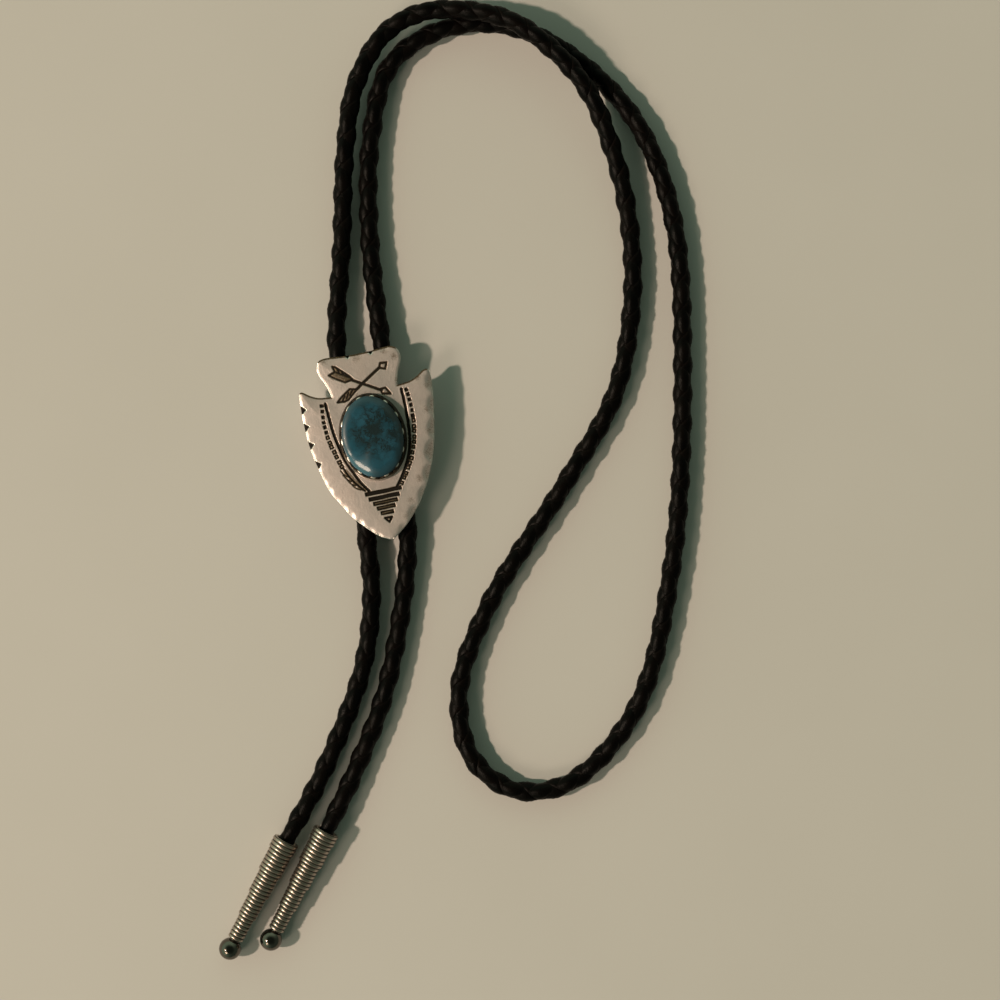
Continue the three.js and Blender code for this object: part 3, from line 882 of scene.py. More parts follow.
class Lathe:
    """Geometry Nodes that press ribs and teeth into an outline and spin it round an axis or oval."""

    def __init__(self) -> None:
        """Builds the tree."""
        kinds = {
            "Outline": "NodeSocketGeometry",
            "Points": "NodeSocketInt",
            "Turns": "NodeSocketInt",
            "Half width": "NodeSocketFloat",
            "Half height": "NodeSocketFloat",
            "Rib depth": "NodeSocketFloat",
            "Tier groove": "NodeSocketFloat",
            "Teeth": "NodeSocketInt",
            "Tooth height": "NodeSocketFloat",
            "Tooth lean": "NodeSocketFloat",
            "Material": "NodeSocketMaterial",
        }
        graph, given = new_geometry_tree("lathe", kinds)
        outline = self._ribbed_outline(graph, given)
        columns = given["Turns"] + 1
        sizes = {"Size X": 1.0, "Size Y": 1.0, "Vertices X": given["Points"], "Vertices Y": columns}
        sheet = graph.wire("GeometryNodeMeshGrid", None, sizes)
        index = graph.wire("GeometryNodeInputIndex")
        row = graph.math("FLOOR", (index + 0.5) / columns)
        turn = (index - row * columns) / given["Turns"] * (2 * math.pi)
        spot = self._sample(graph, outline, graph.wire("GeometryNodeInputPosition"), row, "FLOAT_VECTOR")
        dirty = self._sample(graph, outline, named(graph, "groove"), row, "FLOAT")
        follow = self._sample(graph, outline, named(graph, "toothed"), row, "FLOAT")
        place = graph.node("ShaderNodeSeparateXYZ", None, {0: spot})
        scallop = graph.math("ABSOLUTE", graph.math("COSINE", turn * given["Teeth"] / 2)) ** 0.7
        wave = (scallop * 2 - 1) * follow
        radius = Wire(graph, place.outputs["X"]) - scallop * follow * given["Tooth lean"]
        spun = {
            "X": (given["Half width"] + radius) * graph.math("COSINE", turn),
            "Y": (given["Half height"] + radius) * graph.math("SINE", turn),
            "Z": Wire(graph, place.outputs["Z"]) + wave * given["Tooth height"],
        }
        sheet = store(graph, sheet, "groove", dirty)
        sheet = store(graph, sheet, "tooth", scallop * follow)
        position = graph.wire("ShaderNodeCombineXYZ", None, spun)
        solid = graph.wire("GeometryNodeSetPosition", None, {"Geometry": sheet, "Position": position})
        solid = graph.wire("GeometryNodeMergeByDistance", None, {"Geometry": solid, "Distance": 2e-6})
        solid = graph.wire("GeometryNodeSetShadeSmooth", None, {"Geometry": solid})
        end_geometry_tree(graph, solid, given["Material"])
        self.tree = graph.tree

    @staticmethod
    def _sample(graph: Graph, source: Wire, value: Wire, row: Wire, kind: str) -> Wire:
        """Reads a value at one point of the outline."""
        inputs = {"Geometry": source, "Value": value, "Index": row}
        return graph.wire("GeometryNodeSampleIndex", {"data_type": kind}, inputs)

    def _ribbed_outline(self, graph: Graph, given: dict[str, Wire]) -> Wire:
        """Presses round ribs into the outline, with a deeper groove before each tier."""
        phase, ribbed = named(graph, "phase"), named(graph, "ribbed")
        within = graph.math("FRACT", phase) * 2 - 1
        sunk = (1 - graph.math("SQRT", graph.math("MAXIMUM", 1 - within * within, 0.0))) * ribbed
        first = (1 - phase.step(0.0, 0.35)) * ribbed
        inward = 0 - (sunk * given["Rib depth"] + first * given["Tier groove"])
        offset = graph.wire("ShaderNodeCombineXYZ", None, {"X": inward})
        outline = store(graph, given["Outline"], "groove", graph.math("MAXIMUM", sunk, first))
        return graph.wire("GeometryNodeSetPosition", None, {"Geometry": outline, "Offset": offset})

    def spin(
        self, name: str, outline: Outline, material: bpy.types.Material, **sizes: float
    ) -> bpy.types.Object:
        """Spins an outline.

        Args:
            name: Name of the finished piece.
            outline: The outline.
            material: Its finish.
            sizes: Turns, and in millimetres half_width, half_height, rib_depth, tier_groove, teeth,
                tooth_height and tooth_lean. What isn't given is 0.

        Returns:
            The piece, round Z at the origin.
        """
        count = len(outline.points)
        base = mesh_from(name + "_outline", outline.points, [], [(i, i + 1) for i in range(count - 1)])
        carry(base, "phase", outline.phase)
        carry(base, "ribbed", outline.ribbed)
        carry(base, "toothed", outline.toothed)
        inputs: dict[str, Any] = {"Points": count, "Turns": sizes.pop("turns"), "Material": material}
        inputs["Teeth"] = sizes.pop("teeth", 0)
        for label in ("Half width", "Half height", "Rib depth", "Tier groove", "Tooth height", "Tooth lean"):
            inputs[label] = sizes.pop(label.lower().replace(" ", "_"), 0.0) * MM
        piece = grow(name, self.tree, base, inputs)
        face_out(piece.data)
        return piece


@dataclass
class RibbedTip:
    """A ribbed cone that ends in a ball."""

    mouth_radius: float = 3.4
    socket_radius: float = 2.45
    socket_depth: float = 9.03
    cone_length: float = 28.0
    rib_depth: float = 0.34
    tier_groove: float = 0.16
    neck_length: float = 0.17
    neck_radius: float = 1.2
    ball_radius: float = 2.8
    tiers: tuple = ((6, 0.6), (6, 0.7), (6, 0.81), (6, 0.92), (3, 1.0))
    ball_steps: int = 22
    samples: int = 8
    turns: int = 56
    rim: float = 0.15

    @property
    def length(self) -> float:
        """From the mouth to the middle of the ball."""
        return self.cone_length + self.neck_length + math.sqrt(self.ball_radius**2 - self.neck_radius**2)

    def outline(self) -> Outline:
        """The turned outline from the ball's pole, over the ribs, to the bottom of the socket."""
        outline = Outline()
        neck_turn = math.acos(self.neck_radius / self.ball_radius)
        for i in range(self.ball_steps + 1):
            turn = -math.pi / 2 + i / self.ball_steps * (math.pi / 2 + neck_turn)
            radius = self.ball_radius * math.cos(turn) if i else 0.0
            outline.add(radius, self.ball_radius * math.sin(turn) - self.length)
        pitch = self.cone_length / sum(count for count, _ in self.tiers)
        low = -self.cone_length
        for count, share in self.tiers:
            for i in range(count * self.samples + 1):
                done = i / self.samples
                outline.add(self.mouth_radius * share, low + done * pitch, phase=done, ribbed=1)
            low += count * pitch
        outline.add(self.mouth_radius - self.rim, self.rim / 3)
        outline.add(self.socket_radius + self.rim, self.rim / 3)
        outline.add(self.socket_radius, -self.rim)
        outline.add(self.socket_radius, -self.socket_depth + self.rim)
        outline.add(self.socket_radius - self.rim, -self.socket_depth)
        outline.add(0.0, -self.socket_depth)
        return outline

    def build(self, lathe: Lathe, cord: BraidedCord, plate: PolishedPlate) -> list[bpy.types.Object]:
        """Turns both tips and lays each one at its end of the cord.

        Args:
            lathe: The lathe.
            cord: The cord, which says where the mouths are.
            plate: Their finish.

        Returns:
            The two tips.
        """
        material = plate.material()
        dip = math.asin((self.mouth_radius - self.ball_radius) / self.length)
        tips = []
        for side in Side:
            tip = lathe.spin(
                side.value + "_turned",
                self.outline(),
                material,
                turns=self.turns,
                rib_depth=self.rib_depth,
                tier_groove=self.tier_groove,
            )
            self._mark_ball(tip.data)
            out = cord.way_out(side) * math.cos(dip) + Vector((0, 0, math.sin(dip)))
            placed = Vector((0, 0, 1)).rotation_difference(out).to_matrix().to_4x4()
            placed.translation = cord.mouth(side)
            tip.data.transform(placed)
            seat(tip, side.value)
            tips.append(tip)
        return tips

    def _mark_ball(self, mesh: bpy.types.Mesh) -> None:
        """Stores which points are the ball's."""
        place = np.zeros(len(mesh.vertices) * 3)
        mesh.vertices.foreach_get("co", place)
        carry(mesh, "ball", place[2::3] / MM < -self.cone_length - self.neck_length / 2)


# Slide


def stroke_distance(x: Array, y: Array, line: Any) -> Array:
    """Distance from places on the plate to a line of points."""
    best = np.full(x.shape, np.inf)
    for (ax, ay), (bx, by) in zip(line, line[1:]):
        dx, dy = bx - ax, by - ay
        share = np.clip(((x - ax) * dx + (y - ay) * dy) / (dx * dx + dy * dy), 0.0, 1.0)
        best = np.minimum(best, np.hypot(x - ax - share * dx, y - ay - share * dy))
    return best


def spline(knots: Any, per_span: int) -> Array:
    """Points of a smooth open curve through knots in the plane."""
    knots = np.asarray(knots, dtype=float)
    ends = np.vstack([2 * knots[0] - knots[1], knots, 2 * knots[-1] - knots[-2]])
    points = []
    for a, b, c, d in zip(ends, ends[1:], ends[2:], ends[3:]):
        for i in range(per_span):
            t = i / per_span
            points.append(
                b
                + (c - a) * t / 2
                + (a - 2.5 * b + 2 * c - d / 2) * t**2
                + (1.5 * (b - c) + (d - a) / 2) * t**3
            )
    points.append(knots[-1])
    return np.array(points)


def frame_along(line: Array, places: Array) -> tuple[Array, Array]:
    """Points of a line at these distances along it, and the line's direction there."""
    steps = np.hypot(*np.diff(line, axis=0).T)
    reached = np.concatenate([[0], np.cumsum(steps)])
    at = np.stack([np.interp(places, reached, line[:, k]) for k in (0, 1)], axis=1)
    near = np.clip(np.searchsorted(reached, places) - 1, 0, len(steps) - 1)
    along = np.diff(line, axis=0)[near] / steps[near][:, None]
    return at, along


def inside_outline(x: Array, y: Array, outline: Array) -> Array:
    """Tells which places lie inside a closed outline."""
    inside = np.zeros(x.shape, dtype=bool)
    for (ax, ay), (bx, by) in zip(outline, np.roll(outline, -1, axis=0)):
        if ay != by:
            crosses = (ay > y) != (by > y)
            inside ^= crosses & (x < (bx - ax) * (y - ay) / (by - ay) + ax)
    return inside


def nearest_on(x: Array, y: Array, outline: Array) -> tuple[Array, Array, Array]:
    """Nearest point of a closed outline, and the distance to it."""
    best = np.full(x.shape, np.inf)
    near_x, near_y = np.zeros(x.shape), np.zeros(x.shape)
    for (ax, ay), (bx, by) in zip(outline, np.roll(outline, -1, axis=0)):
        dx, dy = bx - ax, by - ay
        share = np.clip(((x - ax) * dx + (y - ay) * dy) / (dx * dx + dy * dy + 1e-12), 0.0, 1.0)
        px, py = ax + share * dx, ay + share * dy
        distance = np.hypot(x - px, y - py)
        closer = distance < best
        best = np.where(closer, distance, best)
        near_x, near_y = np.where(closer, px, near_x), np.where(closer, py, near_y)
    return near_x, near_y, best


def bulge(level: Array) -> Array:
    """How much each place of a grid of heights stands over those two steps away."""
    sides = [np.roll(level, step, axis) for step in (-2, 2) for axis in (0, 1)]
    return 4 * level - sum(sides)


def spread(value: Array) -> Array:
    """Lets a grid of values reach one step over its borders."""
    sides = [np.roll(value, step, axis) for step in (-1, 1) for axis in (0, 1)]
    return np.maximum(value, 0.7 * np.max(sides, axis=0))


@dataclass
class Ornament:
    """The struck marks on the plate's face, in millimetres from the middle of the slide."""

    depth: float = 0.3
    groove_half: float = 0.28
    stamp_side: float = 0.9
    line_half: float = 0.25
    arrow_depth: float = 0.1
    lip: float = 0.007
    softness: float = 0.09
    seed: int = 4
    left_groove: tuple = (
        (-10.1, 12.4),
        (-9.8, 8.4),
        (-9.4, 4.4),
        (-8.7, 0.9),
        (-7.8, -2.6),
        (-6.5, -5.6),
        (-5.0, -8.6),
        (-3.4, -10.9),
    )
    right_groove: tuple = (
        (9.2, 12.6),
        (9.4, 8.4),
        (9.3, 4.4),
        (9.0, 0.4),
        (8.2, -3.1),
        (7.0, -5.9),
        (5.5, -8.6),
        (3.7, -11.1),
    )
    left_row: tuple = (
        (-11.0, 12.0),
        (-11.3, 9.0),
        (-11.3, 6.6),
        (-11.0, 3.9),
        (-10.3, 0.8),
        (-9.5, -1.8),
        (-8.9, -3.7),
    )
    right_row: tuple = (
        (10.4, 12.2),
        (10.7, 9.8),
        (10.8, 7.0),
        (10.7, 3.4),
        (10.2, 0.4),
        (9.4, -2.4),
        (8.4, -4.9),
        (6.9, -7.6),
        (5.1, -10.4),
    )
    left_stamps: int = 13
    right_stamps: int = 19
    gouge: tuple = ((-8.6, -4.3), (-7.6, -6.5), (-6.2, -8.6), (-4.4, -10.7))
    scuffs: tuple = (
        ((-9.4, -4.7), (-8.7, -5.9), (-7.8, -6.6)),
        ((-9.0, -5.9), (-8.2, -7.1), (-7.3, -7.8)),
        ((-8.2, -7.2), (-7.4, -8.4), (-6.4, -9.0)),
        ((-7.2, -8.8), (-6.4, -9.7), (-5.3, -10.3)),
    )
    stains: tuple = (
        (((-6.7, 21.2), (-5.9, 20.9), (-2.9, 18.1), (-2.3, 17.2), (-6.2, 19.8)), 0.6),
        (((-7.9, 19.2), (-6.4, 18.1), (-4.2, 16.8), (-2.6, 17.1), (-6.2, 19.8)), 0.55),
        (((-7.0, 12.2), (-5.8, 13.3), (-3.4, 14.9), (-1.6, 14.6), (-2.7, 13.7), (-4.2, 12.4)), 0.5),
        (((-8.9, -5.0), (-7.4, -7.8), (-5.0, -10.8), (-4.5, -10.3), (-6.4, -7.2), (-7.9, -4.5)), 0.56),
        (((4.8, 18.8), (5.2, 19.9), (6.8, 19.8), (6.2, 18.3)), 0.32),
        (((4.1, 13.5), (5.4, 13.6), (6.4, 11.9), (4.4, 12.3)), 0.32),
    )
    # Round dark spots: most are painted shade on the top and right edges, away from the light; the last two
    # lie on the face by the arrows.
    shade_and_stain_blotches: tuple = (
        (-0.5, 22.1, 1.5, 0.4),
        (6.7, 22.7, 1.3, 0.4),
        (8.9, 21.0, 1.5, 0.43),
        (-8.6, 23.0, 1.5, 0.4),
        (8.8, 15.0, 1.3, 0.47),
        (13.6, 14.9, 1.5, 0.43),
        (15.7, 12.3, 1.2, 0.4),
        (14.5, 6.4, 1.3, 0.4),
        (14.1, 1.1, 1.3, 0.43),
        (12.5, -4.1, 1.3, 0.4),
        (9.6, -10.1, 1.5, 0.43),
        (6.4, -15.1, 1.4, 0.4),
        (4.5, -18.8, 1.3, 0.36),
        (-7.3, 18.3, 1.2, 0.36),
        (-2.0, 12.9, 1.3, 0.36),
    )
    bars: tuple = (
        (-4.5, 4.7, -11.6),
        (-3.8, 3.9, -13.0),
        (-2.9, 3.2, -14.3),
        (-2.2, 2.4, -15.6),
        (-1.5, 1.7, -16.95),
    )
    bar_half: float = 0.42
    first_hollow_bar: int = 2
    triangle: tuple = ((-0.75, -18.3), (1.05, -18.3), (0.2, -19.4), (-0.75, -18.3))
    arrow_lines: tuple = (
        ((-2.6, 17.1), (-0.1, 15.7), (4.3, 13.2)),
        ((-6.7, 21.2), (-5.9, 20.9), (-2.9, 18.1), (-2.3, 17.2)),
        ((-7.9, 19.2), (-6.4, 18.1), (-4.2, 16.8), (-2.6, 17.1)),
        ((-6.7, 21.2), (-6.2, 19.8), (-7.9, 19.2)),
        ((-6.2, 19.8), (-2.4, 17.4)),
        ((-5.5, 20.4), (-5.2, 19.2)),
        ((-4.6, 19.6), (-4.3, 18.6)),
        ((-3.8, 18.8), (-3.4, 18.0)),
        ((4.1, 13.5), (5.4, 13.6), (6.4, 11.9), (4.4, 12.3), (4.1, 13.5)),
        ((-1.6, 14.6), (-0.1, 15.7), (4.9, 18.9)),
        ((-7.0, 12.2), (-5.8, 13.3), (-3.4, 14.9), (-2.2, 14.6), (-1.6, 14.6)),
        ((-7.0, 12.2), (-5.2, 12.1), (-4.2, 12.4), (-2.7, 13.7), (-1.6, 14.6)),
        ((-5.6, 12.5), (-4.9, 13.5)),
        ((-4.6, 12.8), (-3.9, 14.1)),
        ((-3.7, 13.4), (-2.9, 14.4)),
        ((4.8, 18.8), (5.2, 19.9), (6.8, 19.8), (6.2, 18.3), (4.8, 18.8)),
    )
    shafts: tuple = (0, 9)
    shaft_half: float = 0.34
    gouge_half: float = 0.17
    hollow_from: int = 6
    small_share: float = 0.82
    stamp_border: float = 0.17
    bar_border: float = 0.24
    bar_lean: float = 0.02
    raised_share: float = 0.85
    triangle_half: float = 0.2
    scuff_half: float = 0.12
    scuff_share: float = 0.4
    lip_reach: float = 0.2
    lip_half: float = 0.14
    place_jitter: float = 0.05
    turn_jitter: float = 0.07
    size_jitter: float = 0.06

    def _lip_around(self, distance: Array) -> Array:
        """Height of the lip thrown up around a cut, at these distances from it."""
        return self.lip * np.exp(-(((distance - self.lip_reach) / self.lip_half) ** 2))

    def _line(self, x: Array, y: Array, line: Any, half: float, depth: float) -> tuple[Array, Array]:
        """Depth of a cut along a line, and the lip that it throws up."""
        distance = stroke_distance(x, y, line)
        cut = depth * smooth_step(distance, half + self.softness, half - self.softness)
        return cut, self._lip_around(distance - half)

    def _box(
        self, x: Array, y: Array, middle: Any, along: Any, half: tuple[float, float]
    ) -> tuple[Array, Array]:
        """Depth of a punched box, and its lip."""
        dx, dy = x - middle[0], y - middle[1]
        a = np.abs(dx * along[0] + dy * along[1]) - half[0]
        b = np.abs(dy * along[0] - dx * along[1]) - half[1]
        distance = np.maximum(a, b)
        cut = self.depth * smooth_step(distance, self.softness, -self.softness)
        return cut, self._lip_around(distance)

    def _hollow_box(
        self, x: Array, y: Array, middle: Any, along: Any, half: Any, border: float
    ) -> tuple[Array, Array]:
        """Depth of a punched box whose middle stands higher inside this border, if any, and its lip."""
        cut, lip = self._box(x, y, middle, along, half)
        if border:
            inner = (half[0] - border, half[1] - border)
            cut = cut - self.raised_share * self._box(x, y, middle, along, inner)[0]
        return cut, lip

    def marks(self, x: Array, y: Array) -> tuple[Array, Array]:
        """Depth of all the marks at places on the plate, and the height of their lips.

        Args:
            x: Places across.
            y: Places along.

        Returns:
            The depth and the lip's height, in millimetres.
        """
        chance = np.random.default_rng(self.seed)
        cut, lip = np.zeros(x.shape), np.zeros(x.shape)
        found = []
        for knots in (self.left_groove, self.right_groove):
            found.append(self._line(x, y, spline(knots, 6), self.groove_half, self.depth))
        for knots, count in ((self.left_row, self.left_stamps), (self.right_row, self.right_stamps)):
            line = spline(knots, 8)
            length = np.hypot(*np.diff(line, axis=0).T).sum()
            places = np.linspace(0, length, count) + chance.normal(0, self.place_jitter, count)
            stamps = zip(*frame_along(line, np.clip(places, 0, length)))
            for number, (middle, along) in enumerate(stamps):
                turn = chance.normal(0, self.turn_jitter)
                along = (
                    along[0] * math.cos(turn) - along[1] * math.sin(turn),
                    along[0] * math.sin(turn) + along[1] * math.cos(turn),
                )
                hollow = number >= self.hollow_from
                share = 1.0 if hollow else self.small_share
                half = share * self.stamp_side / 2 * (1 + chance.normal(0, self.size_jitter, 2))
                middle = middle + chance.normal(0, self.place_jitter, 2)
                border = self.stamp_border if hollow else 0.0
                found.append(self._hollow_box(x, y, middle, along, half, border))
        found.append(self._line(x, y, spline(self.gouge, 6), self.gouge_half, self.depth))
        for line in self.scuffs:
            depth = self.depth * self.scuff_share
            found.append(self._line(x, y, spline(line, 4), self.scuff_half, depth))
        for number, (left, right, level) in enumerate(self.bars):
            middle, half = ((left + right) / 2, level), ((right - left) / 2, self.bar_half)
            border = self.bar_border if number >= self.first_hollow_bar else 0.0
            found.append(self._hollow_box(x, y, middle, (1.0, self.bar_lean), half, border))
        found.append(self._line(x, y, self.triangle, self.triangle_half, self.depth))
        for number, line in enumerate(self.arrow_lines):
            half = self.shaft_half if number in self.shafts else self.line_half
            found.append(self._line(x, y, line, half, self.arrow_depth))
        for depth, rise in found:
            cut, lip = np.maximum(cut, depth), np.maximum(lip, rise)
        return cut, lip


@dataclass
class ArrowheadSlide:
    """The cast plate with its chipped edge and struck face, the bezel on it and the stud behind it."""

    plate_thickness: float = 1.8
    pitch: float = 0.13
    edge_round: float = 0.16
    roll_width: float = 0.6
    roll_drop: float = 0.13
    crown: float = 0.31
    crown_fall: float = 0.9
    crown_span: tuple = (-9.0, 5.0)
    crown_level: float = 0.6
    crown_reach: float = 4.5
    roll_power: float = 1.7
    edge_facing: tuple = (0.35, 0.8)
    edge_band: tuple = (0.6, 0.25)
    chip_jitter: float = 0.12
    chip_drift: float = 0.25
    chip_soft: float = 0.09
    notch_wall: tuple = (-0.08, 0.22)
    ridge_bulge: tuple = (0.05, 0.3)
    bezel_stain: float = 0.85
    bezel_band: tuple = (0.32, 0.12)
    notch_half: float = 1.25
    notch_reach: float = 1.35
    notch_depth: float = 0.9
    bezel_wall: float = 0.5
    stone_gap: float = 0.3
    teeth: int = 14
    tooth_height: float = 0.3
    tooth_lean: float = 0.36
    bezel_height: float = 1.9
    # The side of the bezel's wall that faces the light, which gets painted light.
    lit_side: float = 245.0
    left_lobe: tuple = (
        (0.0, 0.987),
        (0.2, 0.988),
        (0.4, 0.993),
        (0.52, 0.994),
        (0.61, 0.983),
        (0.65, 0.95),
        (0.64, 0.912),
        (0.575, 0.865),
        (0.53, 0.82),
        (0.512, 0.789),
    )
    right_lobe: tuple = (
        (0.0, 0.987),
        (0.2, 0.99),
        (0.4, 0.996),
        (0.5, 0.997),
        (0.59, 0.983),
        (0.635, 0.95),
        (0.625, 0.912),
        (0.565, 0.865),
        (0.528, 0.82),
        (0.512, 0.789),
    )
    left_barb: tuple = ((0.512, 0.789), (0.695, 0.797), (0.817, 0.815), (0.935, 0.842), (0.985, 0.838))
    right_barb: tuple = (
        (0.512, 0.789),
        (0.695, 0.797),
        (0.829, 0.816),
        (0.93, 0.84),
        (1.0, 0.843),
        (1.03, 0.828),
    )
    left_flank: tuple = (
        (0.985, 0.838),
        (1.0, 0.77),
        (1.003, 0.68),
        (0.98, 0.56),
        (0.913, 0.44),
        (0.806, 0.31),
        (0.665, 0.223),
        (0.514, 0.142),
        (0.215, 0.038),
        (0.03, 0.001),
    )
    right_flank: tuple = (
        (1.03, 0.828),
        (1.035, 0.78),
        (1.005, 0.67),
        (0.955, 0.56),
        (0.89, 0.45),
        (0.82, 0.37),
        (0.715, 0.282),
        (0.605, 0.214),
        (0.465, 0.142),
        (0.26, 0.064),
        (0.03, 0.001),
    )
    chip_steepness: float = 27.0
    soft_steepness: float = 17.0
    # Painted shade in the chips of the right and top edges, away from the light.
    chip_painted_shade: float = 0.36
    # Painted shade darkens the edges that face +Y, at the top of the view.
    edge_painted_shade: float = 0.8
    left_chips: tuple = (
        (0.79, 1.9, 0.6),
        (0.705, 1.9, 0.6),
        (0.61, 2.1, 0.65),
        (0.51, 2.1, 0.65),
        (0.425, 1.9, 0.65),
        (0.36, 1.7, 0.7),
        (0.305, 1.9, 0.95),
        (0.252, 1.6, 0.8),
        (0.203, 1.7, 0.9),
        (0.155, 1.6, 0.8),
        (0.11, 1.6, 0.85),
        (0.066, 1.5, 0.75),
        (0.03, 1.4, 0.7),
    )
    right_chips: tuple = (
        (0.765, 3.6, 1.6),
        (0.655, 4.0, 1.8),
        (0.54, 4.2, 1.8),
        (0.42, 4.0, 1.75),
        (0.31, 3.4, 1.6),
        (0.215, 3.4, 1.5),
        (0.12, 3.0, 1.3),
        (0.045, 2.2, 1.0),
    )
    # Notches along the left and top edges are filled with painted shade.
    left_notches: tuple = (0.748, 0.66, 0.562, 0.452)
    top_chips: tuple = ((-0.46, 2.6, 0.75), (-0.28, 2.0, 0.6), (0.03, 2.6, 0.8), (0.43, 2.4, 0.8))
    top_notches: tuple = (-0.155, 0.2)
    top_notch_share: float = 0.85

    def __post_init__(self) -> None:
        """Takes the plate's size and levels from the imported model."""
        low, high = box_mm("arrowhead_slide")
        self.half_width, self.half_height = high[0], high[1]
        self.top = box_mm("turquoise_stone")[0][2] - self.stone_gap
        self.bottom = self.top - self.plate_thickness
        self.stud_head_bottom = low[2]
        stone_low, stone_high = box_mm("turquoise_stone")
        self.inner = (stone_high - stone_low)[:2] / 2 + self.stone_gap
        self.stone_middle = (stone_high + stone_low)[:2] / 2

    def place(self, shares: Any, hand: int = 1) -> Array:
        """Turns shares of the half width and of the height from the point into places."""
        shares = np.asarray(shares, dtype=float)
        across, up = shares.T
        return np.stack([hand * across * self.half_width, (2 * up - 1) * self.half_height], axis=1)

    def outline(self) -> Array:
        """The closed outline of the arrowhead."""
        halves = []
        for hand, parts in (
            (1, (self.right_lobe, self.right_barb, self.right_flank)),
            (-1, (self.left_lobe, self.left_barb, self.left_flank)),
        ):
            lines = [spline(self.place(part, hand), 10) for part in parts]
            halves.append(np.vstack([lines[0][:-1], lines[1][:-1], lines[2]]))
        return np.vstack([halves[0], halves[1][:0:-1]])

    def _on_flank(self, up: float, hand: int) -> tuple[Array, Array]:
        """A point of the flank at this height, and the way out of the plate there."""
        line = spline(self.place(self.right_flank if hand > 0 else self.left_flank, hand), 20)
        i = int(np.argmin(np.abs(line[:, 1] - (2 * up - 1) * self.half_height)))
        along = line[min(i + 1, len(line) - 1)] - line[max(i - 1, 0)]
        out = np.array([-along[1], along[0]]) * hand
        return line[i], out / np.hypot(*out)

    def _on_top(self, across: float) -> tuple[Array, Array]:
        """A point of the base's top edge, and the way out of the plate there."""
        return np.array([across * self.half_width, 0.988 * self.half_height]), np.array([0.0, 1.0])

    def _chips(self) -> list[tuple[Array, Array, float, float]]:
        """Where the chips lie on the edge, the way out, their round size and how far they bite in."""
        chips = [(*self._on_flank(up, -1), size, bite) for up, size, bite in self.left_chips]
        chips += [(*self._on_flank(up, 1), size, bite) for up, size, bite in self.right_chips]
        return chips + [(*self._on_top(across), size, bite) for across, size, bite in self.top_chips]

    def _notches(self) -> list[tuple[Array, Array, float]]:
        """Where the notches, filled with painted shade, lie on the edge, the way out, and their size."""
        notches = [(*self._on_flank(up, -1), 1.0) for up in self.left_notches]
        return notches + [(*self._on_top(across), self.top_notch_share) for across in self.top_notches]

    def height(
        self, x: Array, y: Array, inward: Array, upward: Array, ornament: Ornament
    ) -> tuple[Array, Array, Array]:
        """Height of the plate's face, how dark each place is painted for patina and painted shade, and how
        worn.

        Args:
            x: Places across.
            y: Places along.
            inward: Distance of each place from the outline.
            upward: How far the way to the nearest edge points along Y, from -1 to 1.
            ornament: The struck marks.

        Returns:
            Heights in millimetres, and values from 0 to 1 for patina with painted shade, and for wear.
        """
        crown = self.crown * (1 - self.crown_fall * smooth_step(x, *self.crown_span))
        level = self.top + crown * (self.crown_level - np.exp(-inward / self.crown_reach))
        rolled = np.clip(1 - inward / self.roll_width, 0, 1) ** self.roll_power
        level = level - self.roll_drop * rolled
        chance = np.random.default_rng(ornament.seed)
        # Painted shade on the edges that face +Y, and below on the chips of the right and top edges, away
        # from the light.
        painted_shade = self.edge_painted_shade * smooth_step(upward, *self.edge_facing)
        painted_shade = painted_shade * smooth_step(inward, *self.edge_band)
        for at, out, size, bite in self._chips():
            soft_side = out[0] > 0 or out[1] > 0.9
            steepness = self.soft_steepness if soft_side else self.chip_steepness
            radius = size / math.sin(math.radians(steepness))
            reach = size - bite * (1 + chance.normal(0, self.chip_jitter))
            aside = (-out[1] * self.chip_drift, out[0] * self.chip_drift)
            middle = at + out * reach + aside * chance.normal(0, 1, 2)
            square = radius**2 - (x - middle[0]) ** 2 - (y - middle[1]) ** 2
            scoop = self.top + math.sqrt(radius**2 - size**2) - np.sqrt(np.maximum(square, 0))
            soft = self.chip_soft
            lower = np.minimum(level, scoop) - soft * np.exp(-np.abs(level - scoop) / soft) / 2
            lower = np.where(square > 0, lower, level)
            # Chips on the right and top edges get painted shade.
            if soft_side:
                painted_shade = np.maximum(painted_shade, self.chip_painted_shade * smooth_step(level - lower, 0.0, 0.22))
            level = lower
        patina_and_shade = painted_shade
        for at, out, size in self._notches():
            dx, dy = x - at[0], y - at[1]
            deep = -(dx * out[0] + dy * out[1])
            wide = np.abs(dx * out[1] - dy * out[0])
            room = size * self.notch_half * (1 - deep / (size * self.notch_reach))
            share = smooth_step(room - wide, *self.notch_wall)
            level = level - self.notch_depth * share
            # Each notch is filled with painted shade.
            patina_and_shade = np.maximum(patina_and_shade, share)
        cut, lip = ornament.marks(x, y)
        wear_and_painted_light = smooth_step(bulge(level), *self.ridge_bulge)
        patina_and_shade = np.maximum(patina_and_shade, spread(smooth_step(cut, 0.0, 0.4 * ornament.depth)))
        for area, strength in ornament.stains:
            patina_and_shade = np.maximum(patina_and_shade, strength * inside_outline(x, y, np.array(area)))
        # Round spots of painted shade on the top and right edges, and two more on the face by the arrows.
        for middle_x, middle_y, radius, strength in ornament.shade_and_stain_blotches:
            far = np.hypot(x - middle_x, y - middle_y) / radius
            patina_and_shade = np.maximum(patina_and_shade, strength * np.exp(-far * far))
        dx, dy = x - self.stone_middle[0], y - self.stone_middle[1]
        outer = self.inner + self.bezel_wall
        round_bezel = (np.hypot(dx / outer[0], dy / outer[1]) - 1) * outer.mean()
        bezel_shade = self.bezel_stain * smooth_step(round_bezel, *self.bezel_band)
        patina_and_shade = np.maximum(patina_and_shade, bezel_shade)
        return np.maximum(level - cut + lip, self.bottom + 3 * self.edge_round), patina_and_shade, wear_and_painted_light

